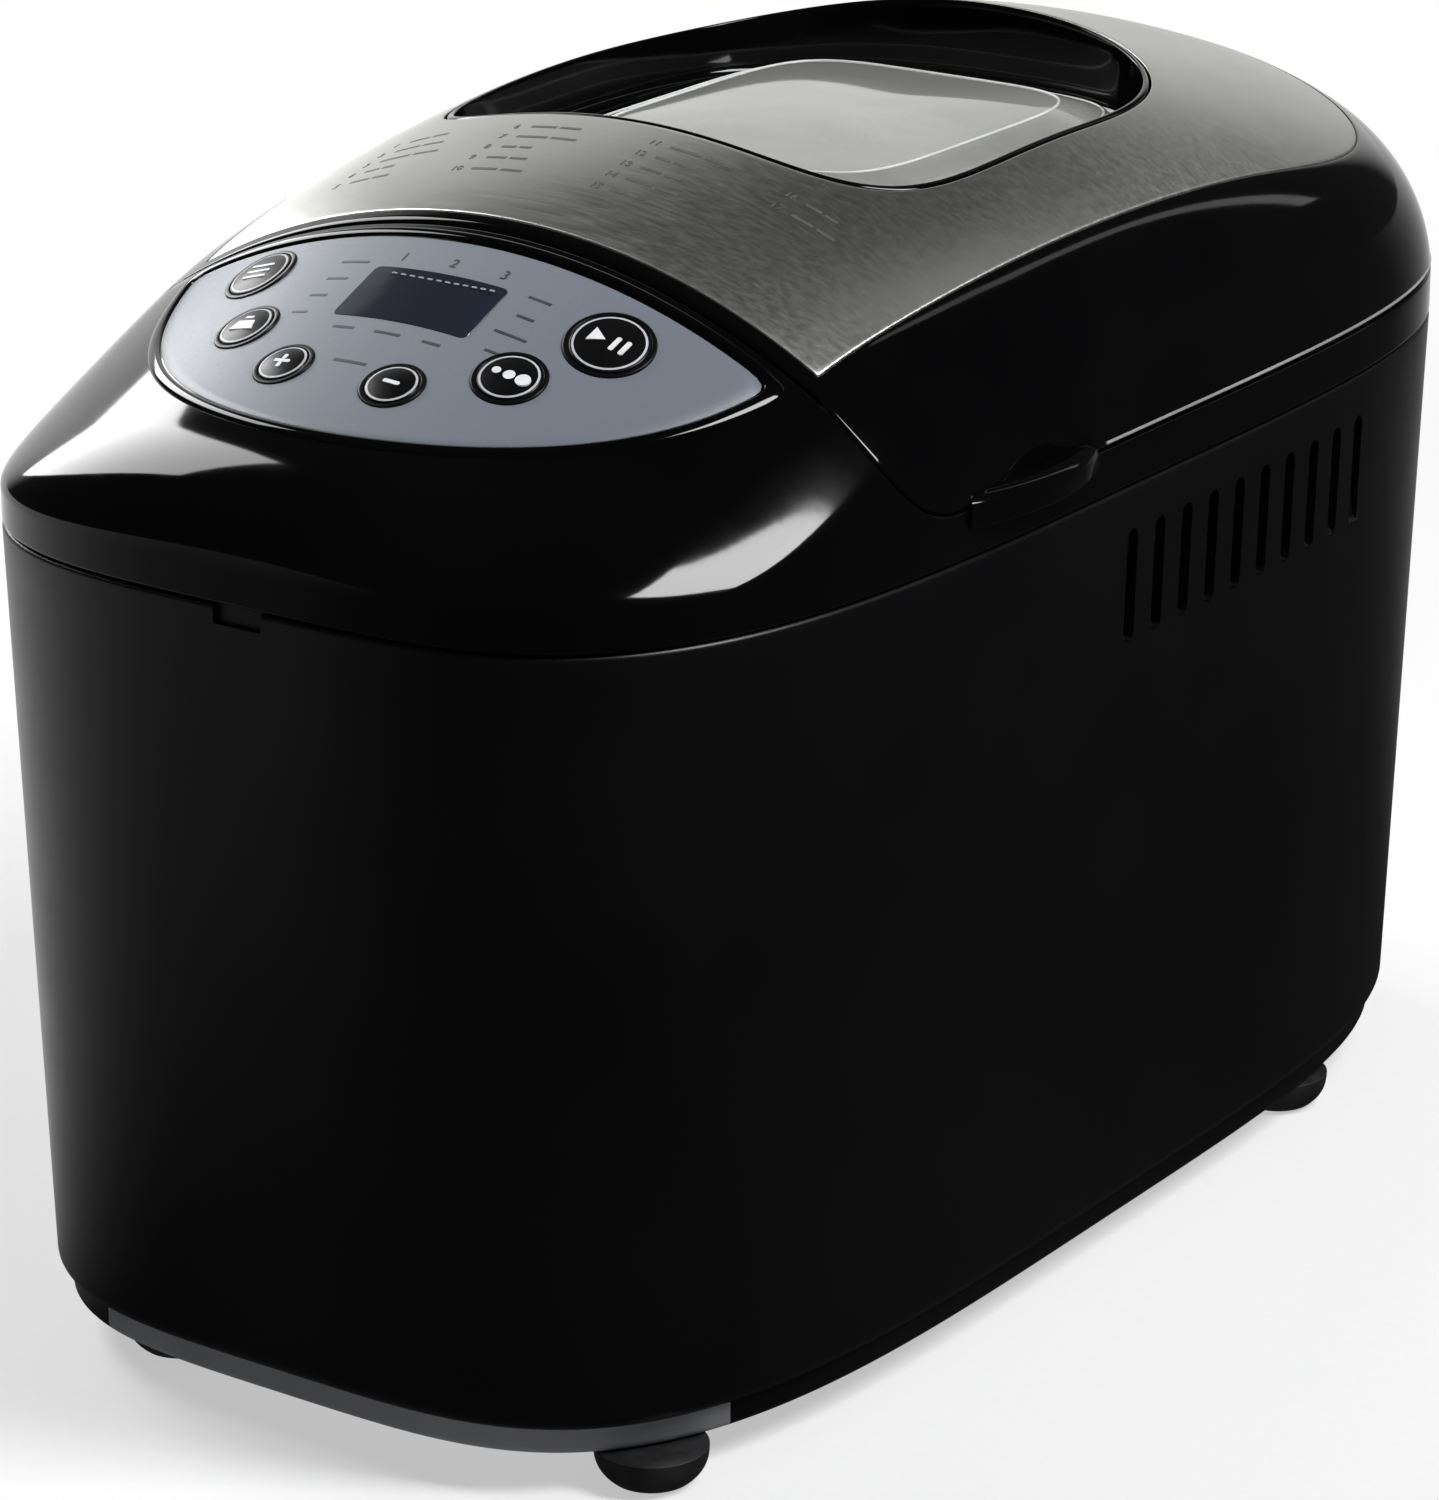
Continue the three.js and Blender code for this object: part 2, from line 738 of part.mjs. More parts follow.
// frame of a button: its middle on the panel, +Z out of the panel
function buttonFrame({ x, y }) {
    const lean = x / Math.sqrt(crownRadius ** 2 - x ** 2);
    const normal = new THREE.Vector3(lean, -slopeRise, 1).normalize();
    const turn = new THREE.Quaternion().setFromUnitVectors(new THREE.Vector3(0, 0, 1), normal);
    return new THREE.Matrix4().compose(
        new THREE.Vector3(x, y, topHeight(x, y)),
        turn,
        new THREE.Vector3(1, 1, 1),
    );
}

// frame of the control board: parallel to the slope under the panel's middle
const boardFrame = new THREE.Matrix4().compose(
    new THREE.Vector3(0, boardY, topHeight(0, boardY)),
    new THREE.Quaternion().setFromEuler(new THREE.Euler(Math.atan(slopeRise), 0, 0)),
    new THREE.Vector3(1, 1, 1),
);

const framed = (shape, frame) => shape.transform(frame.elements);
const capRadius = (button) => button.radius - ringWidth - gap;
const displayBox = (grow, low, high) => framed(block(
    -displayWidth / 2 - grow, displayWidth / 2 + grow,
    -displayHeight / 2 - grow, displayHeight / 2 + grow, low, high,
).translate([0, (displayY - boardY) / Math.cos(Math.atan(slopeRise)), 0]), boardFrame);
const displayColumn = (grow) => block(
    -displayWidth / 2 - grow, displayWidth / 2 + grow,
    displayY - displayHeight / 2 - grow, displayY + displayHeight / 2 + grow, 200, 320,
);

const filmSeat = filmThick + gap;

// ---- control hood ----------------------------------------------------------------------

function controlHood() {
    let hood = cut(envelope(0, seam), lidSpace(gap));
    let hollow = cut(envelope(casingWall, seam - 20), lidSpace(gap + casingWall));
    hood = cut(hood, hollow);
    const opening = roundedBox(-chamberHalfWidth - chamberWall - gap, chamberHalfWidth + chamberWall + gap,
        chamberFront - chamberWall - gap, chamberRear + chamberWall + gap, chamberCorner + chamberWall + gap);
    hood = cut(hood, upright(opening, seam - 5, lidEdge + 5));
    hood = cut(hood, crossRod(hingeGroove, -hingeSlot, hingeSlot, hingeY, hingeZ, 32));
    const film = topSheet(-3, filmSeat, panelTop - panelDepth - 3, panelTop + 3);
    hood = cut(hood, film.intersect(upright(panelOutline(gap), 200, 320)));
    for (const x of [-bossX, bossX]) {
        for (const y of bossRows) {
            const top = topHeight(x, boardY) - topHeight(0, boardY);
            const boss = framed(rod(bossStem, x, y, -boardDepth + gap, top - casingWall + 1, 12), boardFrame);
            hood = joined(hood, boss);
        }
    }
    for (const button of buttons) {
        const frame = buttonFrame(button);
        hood = cut(hood,
            framed(rod(button.radius + gap, 0, 0, -ringDeep - gap, 6), frame),
            framed(rod(capRadius(button) + gap, 0, 0, -8, 6), frame));
    }
    return cut(hood, displayColumn(gap));
}
place("control_hood", controlHood(), glossBlack);

// ---- control panel ---------------------------------------------------------------------

function controlOverlay() {
    const film = topSheet(0, filmThick, panelTop - panelDepth - 3, panelTop + 3);
    let sheet = film.intersect(upright(panelOutline(0), 200, 320));
    for (const button of buttons) {
        sheet = cut(sheet, framed(rod(button.radius + gap, 0, 0, -4, 4), buttonFrame(button)));
    }
    return cut(sheet, displayColumn(gap));
}
place("control_overlay", controlOverlay(), filmBlue);

for (const button of buttons) {
    const frame = buttonFrame(button);
    const cap = capRadius(button);
    const ring = turned([[cap + gap, -ringDeep], [button.radius, -ringDeep], [button.radius, 0.4],
        [button.radius - 0.4, ringProud], [cap + gap, ringProud], [cap + gap, -ringDeep]]);
    place(`button_ring_${button.name}`, framed(ring, frame), silverTrim);
    const flange = -casingWall - 1.3 - buttonTravel;
    const foot = -stemLength - stemBelow;
    const dome = turned([[0, foot], [stemRadius, foot], [stemRadius, flange - 1],
        [cap, flange - 1], [cap, 0.7], [cap * 0.7, buttonProud - 0.1], [0, buttonProud]]);
    place(`button_${button.name}`, framed(dome, frame), glossBlack);
}

const windowSheet = topSheet(0, 1.4, panelTop - panelDepth, panelTop);
place("display_window", windowSheet.intersect(displayColumn(0)), displayDark);
place("display_module", joined(
    displayBox(4, -boardDepth + gap, -casingWall - 3.5),
    displayBox(-0.6, -casingWall - 4, -3),
), satinBlack);

function controlBoard() {
    const halfW = boardWidth / 2;
    const halfH = boardHeight / 2;
    let board = block(-halfW, halfW, -halfH, halfH, -boardDepth - boardThick, -boardDepth);
    board = framed(board, boardFrame);
    for (const button of buttons) {
        const top = -stemLength - stemBelow - buttonTravel - gap;
        const drop = boardDepth - (topHeight(0, button.y) - topHeight(button.x, button.y));
        board = joined(board, framed(rod(stemRadius, 0, 0, -drop - 0.6, top, 8), buttonFrame(button)));
    }
    return board;
}
place("control_board", controlBoard(), boardGreen);

// ---- chassis ---------------------------------------------------------------------------

const chassisTop = chassisZ + chassisThick;

function chassisFrame() {
    const plan = roundedBox(-chassisHalfWidth, chassisHalfWidth, chassisFront, chassisRear, chassisCorner);
    let plate = upright(plan, chassisZ, chassisTop);
    const seat = chamberFloor - chamberWall - gap;
    for (const y of [chamberFront + seatPostInset, panMiddle, chamberRear - seatPostInset]) {
        for (const [, side] of both) {
            plate = joined(plate, rod(seatPostRadius, side * seatPostX, y, chassisZ, seat, 12));
        }
    }
    const holder = block(powerX - 4, powerX + 6, powerY - 2, powerY + powerLength + 2,
        chassisZ, chassisTop + powerSeat);
    const groove = block(powerX - gap, powerX + boardThick + gap, powerY - 26, powerY + powerLength + 20,
        chassisTop + gap, chassisTop + powerSeat + 4);
    plate = cut(joined(plate, holder), groove);
    for (const y of [driveFront, driveRear]) {
        plate = cut(plate, rod(bearingRadius + gap, 0, y, 0, 100));
    }
    return cut(plate, rod(motorPulley + 5, 0, motorY, 0, 100));
}
place("chassis_frame", chassisFrame(), sheetSteel);

function powerBoard() {
    const low = chassisTop + 2 * gap;
    const sheet = block(powerX, powerX + boardThick, powerY, powerY + powerLength, low, low + powerHeight);
    const parts = powerParts.map(({ reach, along, up }) => block(powerX + 1, powerX + reach,
        powerY + along[0], powerY + along[1], low + up[0], low + up[1]));
    const { radius, reach, along, up } = capacitor;
    const can = crossRod(radius, powerX + 1, powerX + reach, powerY + along, low + up, 12);
    return joined(sheet, ...parts, can);
}
place("power_board", powerBoard(), boardGreen);

// ---- drive -----------------------------------------------------------------------------

for (const [row, y, large] of [["front", driveFront, true], ["rear", driveRear, false]]) {
    const bearing = cut(
        joined(rod(bearingRadius, 0, y, chassisZ - bearingFlange, chassisTop + bearingFlange),
            rod(bearingRadius + 3, 0, y, chassisTop + gap, chassisTop + bearingFlange)),
        rod(shaftRadius + gap, 0, y, 0, 100),
    );
    place(`drive_bearing_${row}`, bearing, aluminium);
    const [near, far] = dogReach;
    const dog = block(near, far, y - dogHalf, y + dogHalf, chamberFloor - 1, chamberFloor + dogHeight);
    const shaft = joined(
        rod(shaftRadius, 0, y, lowBeltZ - 2, chamberFloor - 1),
        rod(couplingRadius, 0, y, chassisTop + bearingFlange + gap, chamberFloor),
        dog,
        dog.mirror([1, 0, 0]),
    );
    place(`drive_shaft_${row}`, shaft, sheetSteel);
    const belt = rod(smallPulley, 0, y, highBeltZ, highBeltZ + pulleyHeight);
    const pulley = large
        ? joined(belt, rod(largePulley, 0, y, lowBeltZ, lowBeltZ + pulleyHeight, 32),
            rod(pulleyHub, 0, y, lowBeltZ, highBeltZ + pulleyHeight))
        : joined(belt, rod(pulleyHub, 0, y, lowBeltZ, highBeltZ + pulleyHeight));
    place(`drive_pulley_${row}`, cut(pulley, rod(shaftRadius + gap, 0, y, 0, 100)), whiteMoulding);
}

// belt loop round two upright pulleys on the Y axis
function beltLoop(y0, r0, y1, r1, z0) {
    const steps = 14;
    const lean = Math.asin((r1 - r0) / (y1 - y0));
    const outlineAt = (grow) => {
        const arc = (y, r, from, span) => Array.from({ length: steps + 1 }, (_, i) => {
            const angle = from + span * i / steps;
            const reach = (r + grow) / Math.cos(span / steps / 2);
            return [reach * Math.cos(angle), y + reach * Math.sin(angle)];
        });
        return [
            ...arc(y0, r0, Math.PI + lean, Math.PI - 2 * lean),
            ...arc(y1, r1, -lean, Math.PI + 2 * lean),
        ];
    };
    return cut(upright(outlineAt(gap + beltThick), z0, z0 + beltHeight),
        upright(outlineAt(gap), z0 - 1, z0 + beltHeight + 1));
}
const beltSide = (pulleyHeight - beltHeight) / 2;
const motorBelt = beltLoop(motorY, motorPulley, driveFront, largePulley, lowBeltZ + beltSide);
const rearBelt = beltLoop(driveFront, smallPulley, driveRear, smallPulley, highBeltZ + beltSide);
place("belt_motor", motorBelt, beltBlack);
place("belt_rear", rearBelt, beltBlack);

const motorBase = chassisTop + gap;
const motorCan = joined(
    rod(motorRadius, 0, motorY, motorBase, motorBase + motorHeight, 28),
    rod(motorHub, 0, motorY, motorBase + motorHeight - 1, motorBase + motorHeight + 6, 16),
);
place("motor", cut(motorCan, rod(shaftRadius + gap, 0, motorY, 0, 200)), aluminium);
place("motor_rotor", joined(
    rod(shaftRadius, 0, motorY, lowBeltZ - 2, motorBase + motorHeight + 10),
    rod(motorPulley, 0, motorY, lowBeltZ, lowBeltZ + pulleyHeight),
), sheetSteel);

// ---- oven chamber ----------------------------------------------------------------------

const chamberPlan = (grow) => roundedBox(-chamberHalfWidth - grow, chamberHalfWidth + grow,
    chamberFront - grow, chamberRear + grow, chamberCorner + grow);
const flangeZ = lidEdge;         // the flange lies on the hood's deck

function ovenChamber() {
    const low = chamberFloor - chamberWall;
    const top = flangeZ + chamberWall;
    let pot = joined(
        upright(chamberPlan(chamberWall), low, top),
        upright(chamberPlan(chamberFlange), flangeZ, top),
    );
    pot = cut(pot, upright(chamberPlan(0), chamberFloor, top + 5));
    for (const y of [driveFront, driveRear]) {
        pot = cut(pot, rod(couplingHole, 0, y, low - 5, chamberFloor + 5));
    }
    const throughFront = (radius, x, z) =>
        longRod(radius + gap, x, chamberFront - 5, chamberFront + 5, z, 12);
    for (const [, side] of both) {
        pot = cut(pot, throughFront(heaterRadius, side * heaterEndX, heaterZ));
    }
    return cut(pot, throughFront(sensorRadius, sensorX, sensorZ));
}
place("oven_chamber", ovenChamber(), sheetSteel);

const heaterSide = chamberHalfWidth - heaterInset;
const heaterFront = chamberFront + heaterInset;
const heaterBack = chamberRear - heaterInset;
const heaterEnd = chamberFront - 14;
place("heating_element", wire([
    [-heaterEndX, heaterEnd, heaterZ], [-heaterEndX, heaterFront, heaterZ],
    [-heaterSide, heaterFront, heaterZ], [-heaterSide, heaterBack, heaterZ],
    [heaterSide, heaterBack, heaterZ], [heaterSide, heaterFront, heaterZ],
    [heaterEndX, heaterFront, heaterZ], [heaterEndX, heaterEnd, heaterZ],
], heaterBend, heaterRadius), coatedGrey);

function heaterBlock() {
    const rear = chamberFront - chamberWall - gap;
    const body = block(-heaterEndX - 10, heaterEndX + 10, rear - 7, rear, heaterZ - 8, heaterZ + 8);
    return cut(body, ...both.map(([, side]) =>
        longRod(heaterRadius + gap, side * heaterEndX, rear - 20, rear + 5, heaterZ, 12)));
}
place("heater_terminal_block", heaterBlock(), whiteMoulding);

const sensorSeat = chamberFront - chamberWall - gap;
place("temperature_sensor", joined(
    longRod(sensorRadius, sensorX, chamberFront - 10, chamberFront + 5, sensorZ, 12),
    longRod(sensorFlange, sensorX, sensorSeat - 3, sensorSeat, sensorZ, 12),
), sheetSteel);

for (const [side, sign] of both) {
    const seat = chamberFloor + gap;
    const near = panLugX + panLug + gap;
    const clip = joined(
        block(near, near + clipReach, panMiddle - clipHalf, panMiddle + clipHalf, seat, seat + clipThick),
        block(near, near + clipThick, panMiddle - clipHalf, panMiddle + clipHalf, seat, seat + clipHeight),
    );
    place(`pan_clip_${side}`, sign > 0 ? clip : clip.mirror([1, 0, 0]), sheetSteel);
}

// ---- bread pan -------------------------------------------------------------------------

function panPlan(grow, height) {
    const narrow = panTaper * (panRim - height) / (panRim - panFloor) - grow;
    return roundedBox(-panHalfWidth + narrow, panHalfWidth - narrow, panMiddle - panHalfLength + narrow,
        panMiddle + panHalfLength - narrow, panCorner - narrow / 2).map(([x, y]) => [x, y, height]);
}

function breadPan() {
    const middle = (height) => [0, panMiddle, height];
    const filled = (grow, low, high) =>
        skin([panPlan(grow, low), panPlan(grow, high)], { floor: middle(low), peak: middle(high) });
    const outside = filled(0, panFloor, panRim);
    const inside = filled(-panWall, panFloor + panWall, panRim + 4);
    const lip = upright(panPlan(panLip, panRim).map(([x, y]) => [x, y]), panRim - 2.5, panRim);
    let pan = joined(outside, lip);
    for (const [, side] of both) {
        pan = joined(pan, rod(panLug, side * panLugX, panMiddle, chamberFloor + gap, panFloor + 1, 16));
    }
    for (const y of [panMiddle - panLugY, panMiddle + panLugY]) {
        pan = joined(pan, rod(panLug, 0, y, chamberFloor + gap, panFloor + 1, 16));
    }
    pan = cut(pan, inside);
    for (const y of [driveFront, driveRear]) {
        pan = joined(pan, rod(bossRadius, 0, y, panFloor, bossTop));
        pan = cut(pan, rod(shaftRadius + gap, 0, y, panFloor - 5, bossTop + 5));
    }
    for (const sign of [-1, 1]) {
        const face = panMiddle + sign * panHalfLength;
        const [y0, y1] = sign > 0 ? [face - panWall, face + earThick] : [face - earThick, face + panWall];
        const ear = joined(block(-earHalf, earHalf, y0, y1, panRim - earBelow, bailZ),
            longRod(earHalf, 0, y0, y1, bailZ, 20));
        pan = cut(joined(pan, ear), longRod(wireRadius + gap, 0, y0 - 5, y1 + 5, bailZ, 16));
    }
    return pan;
}
place("bread_pan", breadPan(), coatedGrey);

const bailEnd = panHalfLength + 3;
const bailArm = panHalfLength - bailInset;
place("pan_handle", wire([
    [0, panMiddle - bailEnd, bailZ], [0, panMiddle - bailArm, bailZ],
    [bailReach, panMiddle - bailArm, bailZ], [bailReach, panMiddle + bailArm, bailZ],
    [0, panMiddle + bailArm, bailZ], [0, panMiddle + bailEnd, bailZ],
], bailBend, wireRadius), sheetSteel);

for (const [row, y] of [["front", driveFront], ["rear", driveRear]]) {
    place(`kneader_shaft_${row}`, joined(
        rod(shaftRadius, 0, y, chamberFloor + wingLow, paddleTop - 4),
        block(-wingHalf, wingHalf, y - wingReach, y + wingReach,
            chamberFloor + wingLow, chamberFloor + wingLow + wingHeight),
    ), sheetSteel);
    const low = bossTop + gap;
    const arm = upright(blade.map(([x, along]) => [x, y + along]), low, low + bladeHeight);
    const paddle = cut(joined(rod(paddleHub, 0, y, low, paddleTop, 16), arm),
        rod(shaftRadius + gap, 0, y, 0, paddleTop - 4 + gap));
    place(`kneading_paddle_${row}`, paddle, coatedGrey);
}

// ---- lid -------------------------------------------------------------------------------

// plan of the lid cover: straight front edge, bowed sides, rounded rear
function coverOutline(offset) {
    const corner = coverFrontHalf + offset;
    const halfX = creaseHalfWidth + offset;
    const frontY = coverFront - offset;
    const front = spaced([[0, frontY], [corner, frontY]], 6);
    const side = [];
    for (let i = 0; i <= 40; i += 1) {
        const y = frontY + (creaseMiddle - frontY) * i / 40;
        side.push([halfX - coverBow * (y - creaseMiddle) ** 2, y]);
    }
    side[0][0] = corner;
    const rear = halfOutline({ ...creaseSpec(-offset), frontPower: 2 }).filter(([, y]) => y > creaseMiddle);
    return mirrored([...front.slice(0, -1), ...spaced([...side, ...rear], sideSteps - 6)]);
}

// point of a split outline in the direction of another point
function towards(spec, [x, y]) {
    const { halfX, middle, front, frontPower, rear = front, rearPower = frontPower } = spec;
    const ahead = y < middle;
    const reach = ahead ? front : rear;
    const n = ahead ? frontPower : rearPower;
    const share = ((Math.abs(x) / halfX) ** n + (Math.abs(y - middle) / reach) ** n) ** (-1 / n);
    return [share * x, middle + share * (y - middle)];
}

const wellOutline = (inset) => coverOutline(0).map((point) => towards(wellSpec(inset), point));
const onTop = (points, depth) => points.map(([x, y]) => [x, y, topHeight(x, y) - depth]);
const between = (a, b, share) => a.map(([x, y], i) => [x + share * (b[i][0] - x), y + share * (b[i][1] - y)]);

// ring-shaped sheet under the top between the cover's outline and the well, between two depths
function coverSheet(grow, wellInset, shallow, deep) {
    const outer = coverOutline(grow);
    const inner = outer.map((point) => towards(wellSpec(wellInset), point));
    const rings = [0, 0.35, 0.7, 1].map((share) => between(outer, inner, share));
    return skin([
        ...rings.slice().reverse().map((ring) => onTop(ring, deep)),
        ...rings.map((ring) => onTop(ring, shallow)),
    ], { loop: true });
}

function lidShell() {
    let lid = envelope(0, lidEdge - 10).intersect(lidSpace(0));
    const hollow = envelope(lidWall, lidEdge - 30).intersect(lidSpace(-lidWall, lidEdge - 20));
    lid = cut(lid, hollow);
    const skirt = cut(envelope(0, lidEdge - 3), envelope(lidWall, lidEdge - 10))
        .intersect(block(1 - hingeSlot, hingeSlot - 1, hingeY - 20, halfDepth + 5,
            lidEdge - 3, lidEdge + 0.5))
        .intersect(crossRod(hingeGroove - 2 * gap, -100, 100, hingeY, hingeZ, 32));
    lid = joined(lid, skirt);
    lid = cut(lid, coverSheet(gap, 2, -4, coverThick + gap));
    lid = cut(lid, upright(wellOutline(-gap), 240, 330));
    const arc = (lipLength ** 2 / 4 + lipReach ** 2) / (2 * lipReach);
    for (const [, side] of both) {
        const lipX = side * (halfWidth + lipReach - arc);
        const lip = rod(arc, lipX, lipMiddle, lidEdge - lipDrop, lidEdge + lipRise, 128);
        const above = block(halfWidth - 2, halfWidth + 20, -200, 100, lidEdge, lidEdge + 20);
        const outside = block(halfWidth + 2 * gap, halfWidth + 20, -200, 100, lidEdge - 20, lidEdge + 20);
        const keep = joined(above, outside);
        lid = joined(lid, lip.intersect(side > 0 ? keep : keep.mirror([1, 0, 0])));
    }
    return lid;
}
place("lid_shell", lidShell(), glossBlack);
place("lid_cover", coverSheet(0, -gap, 0, coverThick), brushedSteel);

function windowSurround() {
    const ring = (inset, height) => atHeight(wellOutline(inset), height);
    const topRing = (inset) => onTop(wellOutline(inset), 0);
    const seat = wellOutline(0).map((point) => [...towards(glassSpec(glassLedge), point), wellFloor]);
    const under = seat.map(([x, y]) => [x, y, wellFloor - 3]);
    return skin([under, ring(gap, wellFloor - 3), topRing(gap), topRing(gap + 1.4),
        ring(gap + 3, wellFloor + 3), ring(gap + 4.7, wellFloor), seat], { loop: true });
}
place("window_surround", windowSurround(), glossBlack);

function windowGlass() {
    const rim = outline(glassSpec(0), 16);
    const low = wellFloor + gap;
    const rings = [atHeight(rim, low), atHeight(rim, low + glassThick)];
    const centre = rim.map(() => [0, glassMiddle]);
    for (const share of [0.3, 0.6]) {
        const height = low + glassThick + glassDome * (1 - (1 - share) ** 2);
        rings.push(atHeight(between(rim, centre, share), height));
    }
    const peak = low + glassThick + glassDome;
    return skin(rings, { floor: [0, glassMiddle, low], peak: [0, glassMiddle, peak] });
}
place("window_glass", windowGlass(), glassClear);

// ---- lid underside ---------------------------------------------------------------------

function innerWindowPlan(grow) {
    return roundedBox(-innerGlassHalfWidth - grow, innerGlassHalfWidth + grow,
        glassMiddle - innerGlassHalfLength - grow, glassMiddle + innerGlassHalfLength + grow,
        innerGlassCorner + grow);
}

function lidLiner() {
    const inset = lidWall + gap;
    const level = block(-200, 200, -300, 300, linerZ, linerZ + linerThick);
    const sheet = envelope(inset, lidEdge).intersect(level);
    const front = partingY + inset;
    const sideFront = partingY + cornerRadius;
    const innerX = cornerInnerX - inset;
    let liner = sheet.intersect(joined(
        block(-innerX, innerX, front, 300, linerZ - 5, linerZ + 5),
        block(-200, 200, sideFront, 300, linerZ - 5, linerZ + 5),
    ));
    liner = cut(liner, upright(innerWindowPlan(-innerGlassSeat), linerZ - 5, linerZ + 5));
    for (const [, side] of both) {
        const x = side * hingeX;
        liner = cut(liner, crossRod(hingeKnuckle + 2 * gap, x - 10, x + 10, hingeY, hingeZ));
        const knuckle = joined(crossRod(hingeKnuckle, x - knuckleHalf, x + knuckleHalf, hingeY, hingeZ),
            block(x - knuckleHalf, x + knuckleHalf, hingeY - 12, hingeY, hingeZ + 1, linerZ + 1));
        liner = cut(joined(liner, knuckle), crossRod(hingePin + gap, x - 10, x + 10, hingeY, hingeZ, 16));
    }
    return liner;
}
place("lid_liner", lidLiner(), sheetSteel);

const innerGlassZ = linerZ + linerThick + gap;
place("inner_glass", upright(innerWindowPlan(0), innerGlassZ, innerGlassZ + innerGlassThick), glassClear);

function lidSeal() {
    const low = flangeZ + chamberWall + gap;
    return cut(upright(chamberPlan(chamberFlange - 1), low, linerZ - gap),
        upright(chamberPlan(chamberFlange - 1 - sealWidth), low - 1, linerZ + 1));
}
place("lid_seal", lidSeal(), silicone);

for (const [side, sign] of both) {
    const x = sign * hingeX;
    const low = lidEdge;
    const ears = [-1, 1].map((end) => {
        const [x0, x1] = end > 0
            ? [x + knuckleHalf + gap, x + bracketHalf]
            : [x - bracketHalf, x - knuckleHalf - gap];
        return joined(crossRod(hingeKnuckle, x0, x1, hingeY, hingeZ),
            block(x0, x1, hingeY - 15, hingeY, low, hingeZ));
    });
    const foot = block(x - bracketHalf, x + bracketHalf, hingeY - 25.5, hingeY - 13, low, low + 1.6);
    const bracket = cut(joined(foot, ...ears),
        crossRod(hingePin + gap, x - 20, x + 20, hingeY, hingeZ, 16));
    place(`hinge_bracket_${side}`, bracket, sheetSteel);
    const pin = crossRod(hingePin, x - bracketHalf - 1, x + bracketHalf + 1, hingeY, hingeZ, 16);
    place(`hinge_pin_${side}`, pin, sheetSteel);
}

export default machine;
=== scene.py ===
import math

import bmesh
import bpy
import numpy as np
from mathutils import Matrix, Vector


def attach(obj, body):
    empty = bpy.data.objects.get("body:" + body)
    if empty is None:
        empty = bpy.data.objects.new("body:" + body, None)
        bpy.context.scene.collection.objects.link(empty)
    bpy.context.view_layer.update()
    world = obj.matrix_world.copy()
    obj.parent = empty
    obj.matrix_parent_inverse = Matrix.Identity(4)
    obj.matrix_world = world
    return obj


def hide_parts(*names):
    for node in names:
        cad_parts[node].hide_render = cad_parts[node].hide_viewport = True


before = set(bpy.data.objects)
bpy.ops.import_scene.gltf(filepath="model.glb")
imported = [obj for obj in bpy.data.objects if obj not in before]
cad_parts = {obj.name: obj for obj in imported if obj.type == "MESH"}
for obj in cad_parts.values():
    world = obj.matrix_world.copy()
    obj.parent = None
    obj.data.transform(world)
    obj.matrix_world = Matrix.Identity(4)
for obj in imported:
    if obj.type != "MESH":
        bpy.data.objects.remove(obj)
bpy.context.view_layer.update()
print("frame loaded:", len(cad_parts), "nodes")

millimetre = 0.001
gap = 0.3  # clearance between seated pieces, in mm like every other size here

view = {
    "azimuth": 34.68,  # degrees round from the front
    "elevation": 19.57,
    "distance": 1503.2,
    "target": (0, -18.2, 121.7),
    "lens": 137.64,
    "sensor": 36,
    "clip": (0.05, 40),  # metres
}


def linked(name, data):
    thing = bpy.data.objects.new(name, data)
    bpy.context.scene.collection.objects.link(thing)
    return thing


# unit vector towards a place given in degrees round from the front and up
def direction(azimuth, elevation):
    a, e = math.radians(azimuth), math.radians(elevation)
    return Vector((math.sin(a) * math.cos(e), -math.cos(a) * math.cos(e), math.sin(e)))


def makeCamera():
    data = bpy.data.cameras.new("camera")
    data.lens, data.sensor_width = view["lens"], view["sensor"]
    data.clip_start, data.clip_end = view["clip"]
    camera = linked("camera", data)
    back = direction(view["azimuth"], view["elevation"])
    camera.location = (Vector(view["target"]) + back * view["distance"]) * millimetre
    camera.rotation_mode = "QUATERNION"
    camera.rotation_quaternion = (-back).to_track_quat("-Z", "Y")
    bpy.context.scene.camera = camera


makeCamera()


# body it rides on and CAD nodes it stands for, each where it is given
def fitPiece(piece, body, replaced=()):
    if body:
        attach(piece, body)
    if replaced:
        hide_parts(*([replaced] if isinstance(replaced, str) else replaced))


def softenFaces(piece, angle=38):
    piece.data.shade_smooth()
    piece.data.set_sharp_from_angle(angle=math.radians(angle))


# piece from points in mm; without a body it is a helper solid for cutting
def makePiece(name, points, faces, materials=(), body=None, replaced=(), slot=None, smooth=38):
    mesh = bpy.data.meshes.new(name)
    mesh.from_pydata([tuple(p) for p in np.asarray(points, float) * millimetre], [], faces)
    mesh.update()
    piece = linked(name, mesh)
    for material in materials if isinstance(materials, (list, tuple)) else [materials]:
        mesh.materials.append(material)
    shell = bmesh.new()
    shell.from_mesh(mesh)
    bmesh.ops.remove_doubles(shell, verts=shell.verts, dist=1e-6)
    bmesh.ops.recalc_face_normals(shell, faces=shell.faces)
    shell.to_mesh(mesh)
    shell.free()
    softenFaces(piece, smooth)
    fitPiece(piece, body, replaced)
    return piece


# quads between rows of equal length; the ends are open, filled, filled at the first row only, or joined
def rowFaces(rowCount, perRow, ends="open"):
    faces = []
    for k in range(rowCount if ends == "joined" else rowCount - 1):
        low, high = k * perRow, (k + 1) % rowCount * perRow
        for i in range(perRow):
            j = (i + 1) % perRow
            faces.append((low + i, low + j, high + j, high + i))
    if ends in ("filled", "firstFilled"):
        faces.append(tuple(range(perRow - 1, -1, -1)))
    if ends == "filled":
        faces.append(tuple((rowCount - 1) * perRow + i for i in range(perRow)))
    return faces


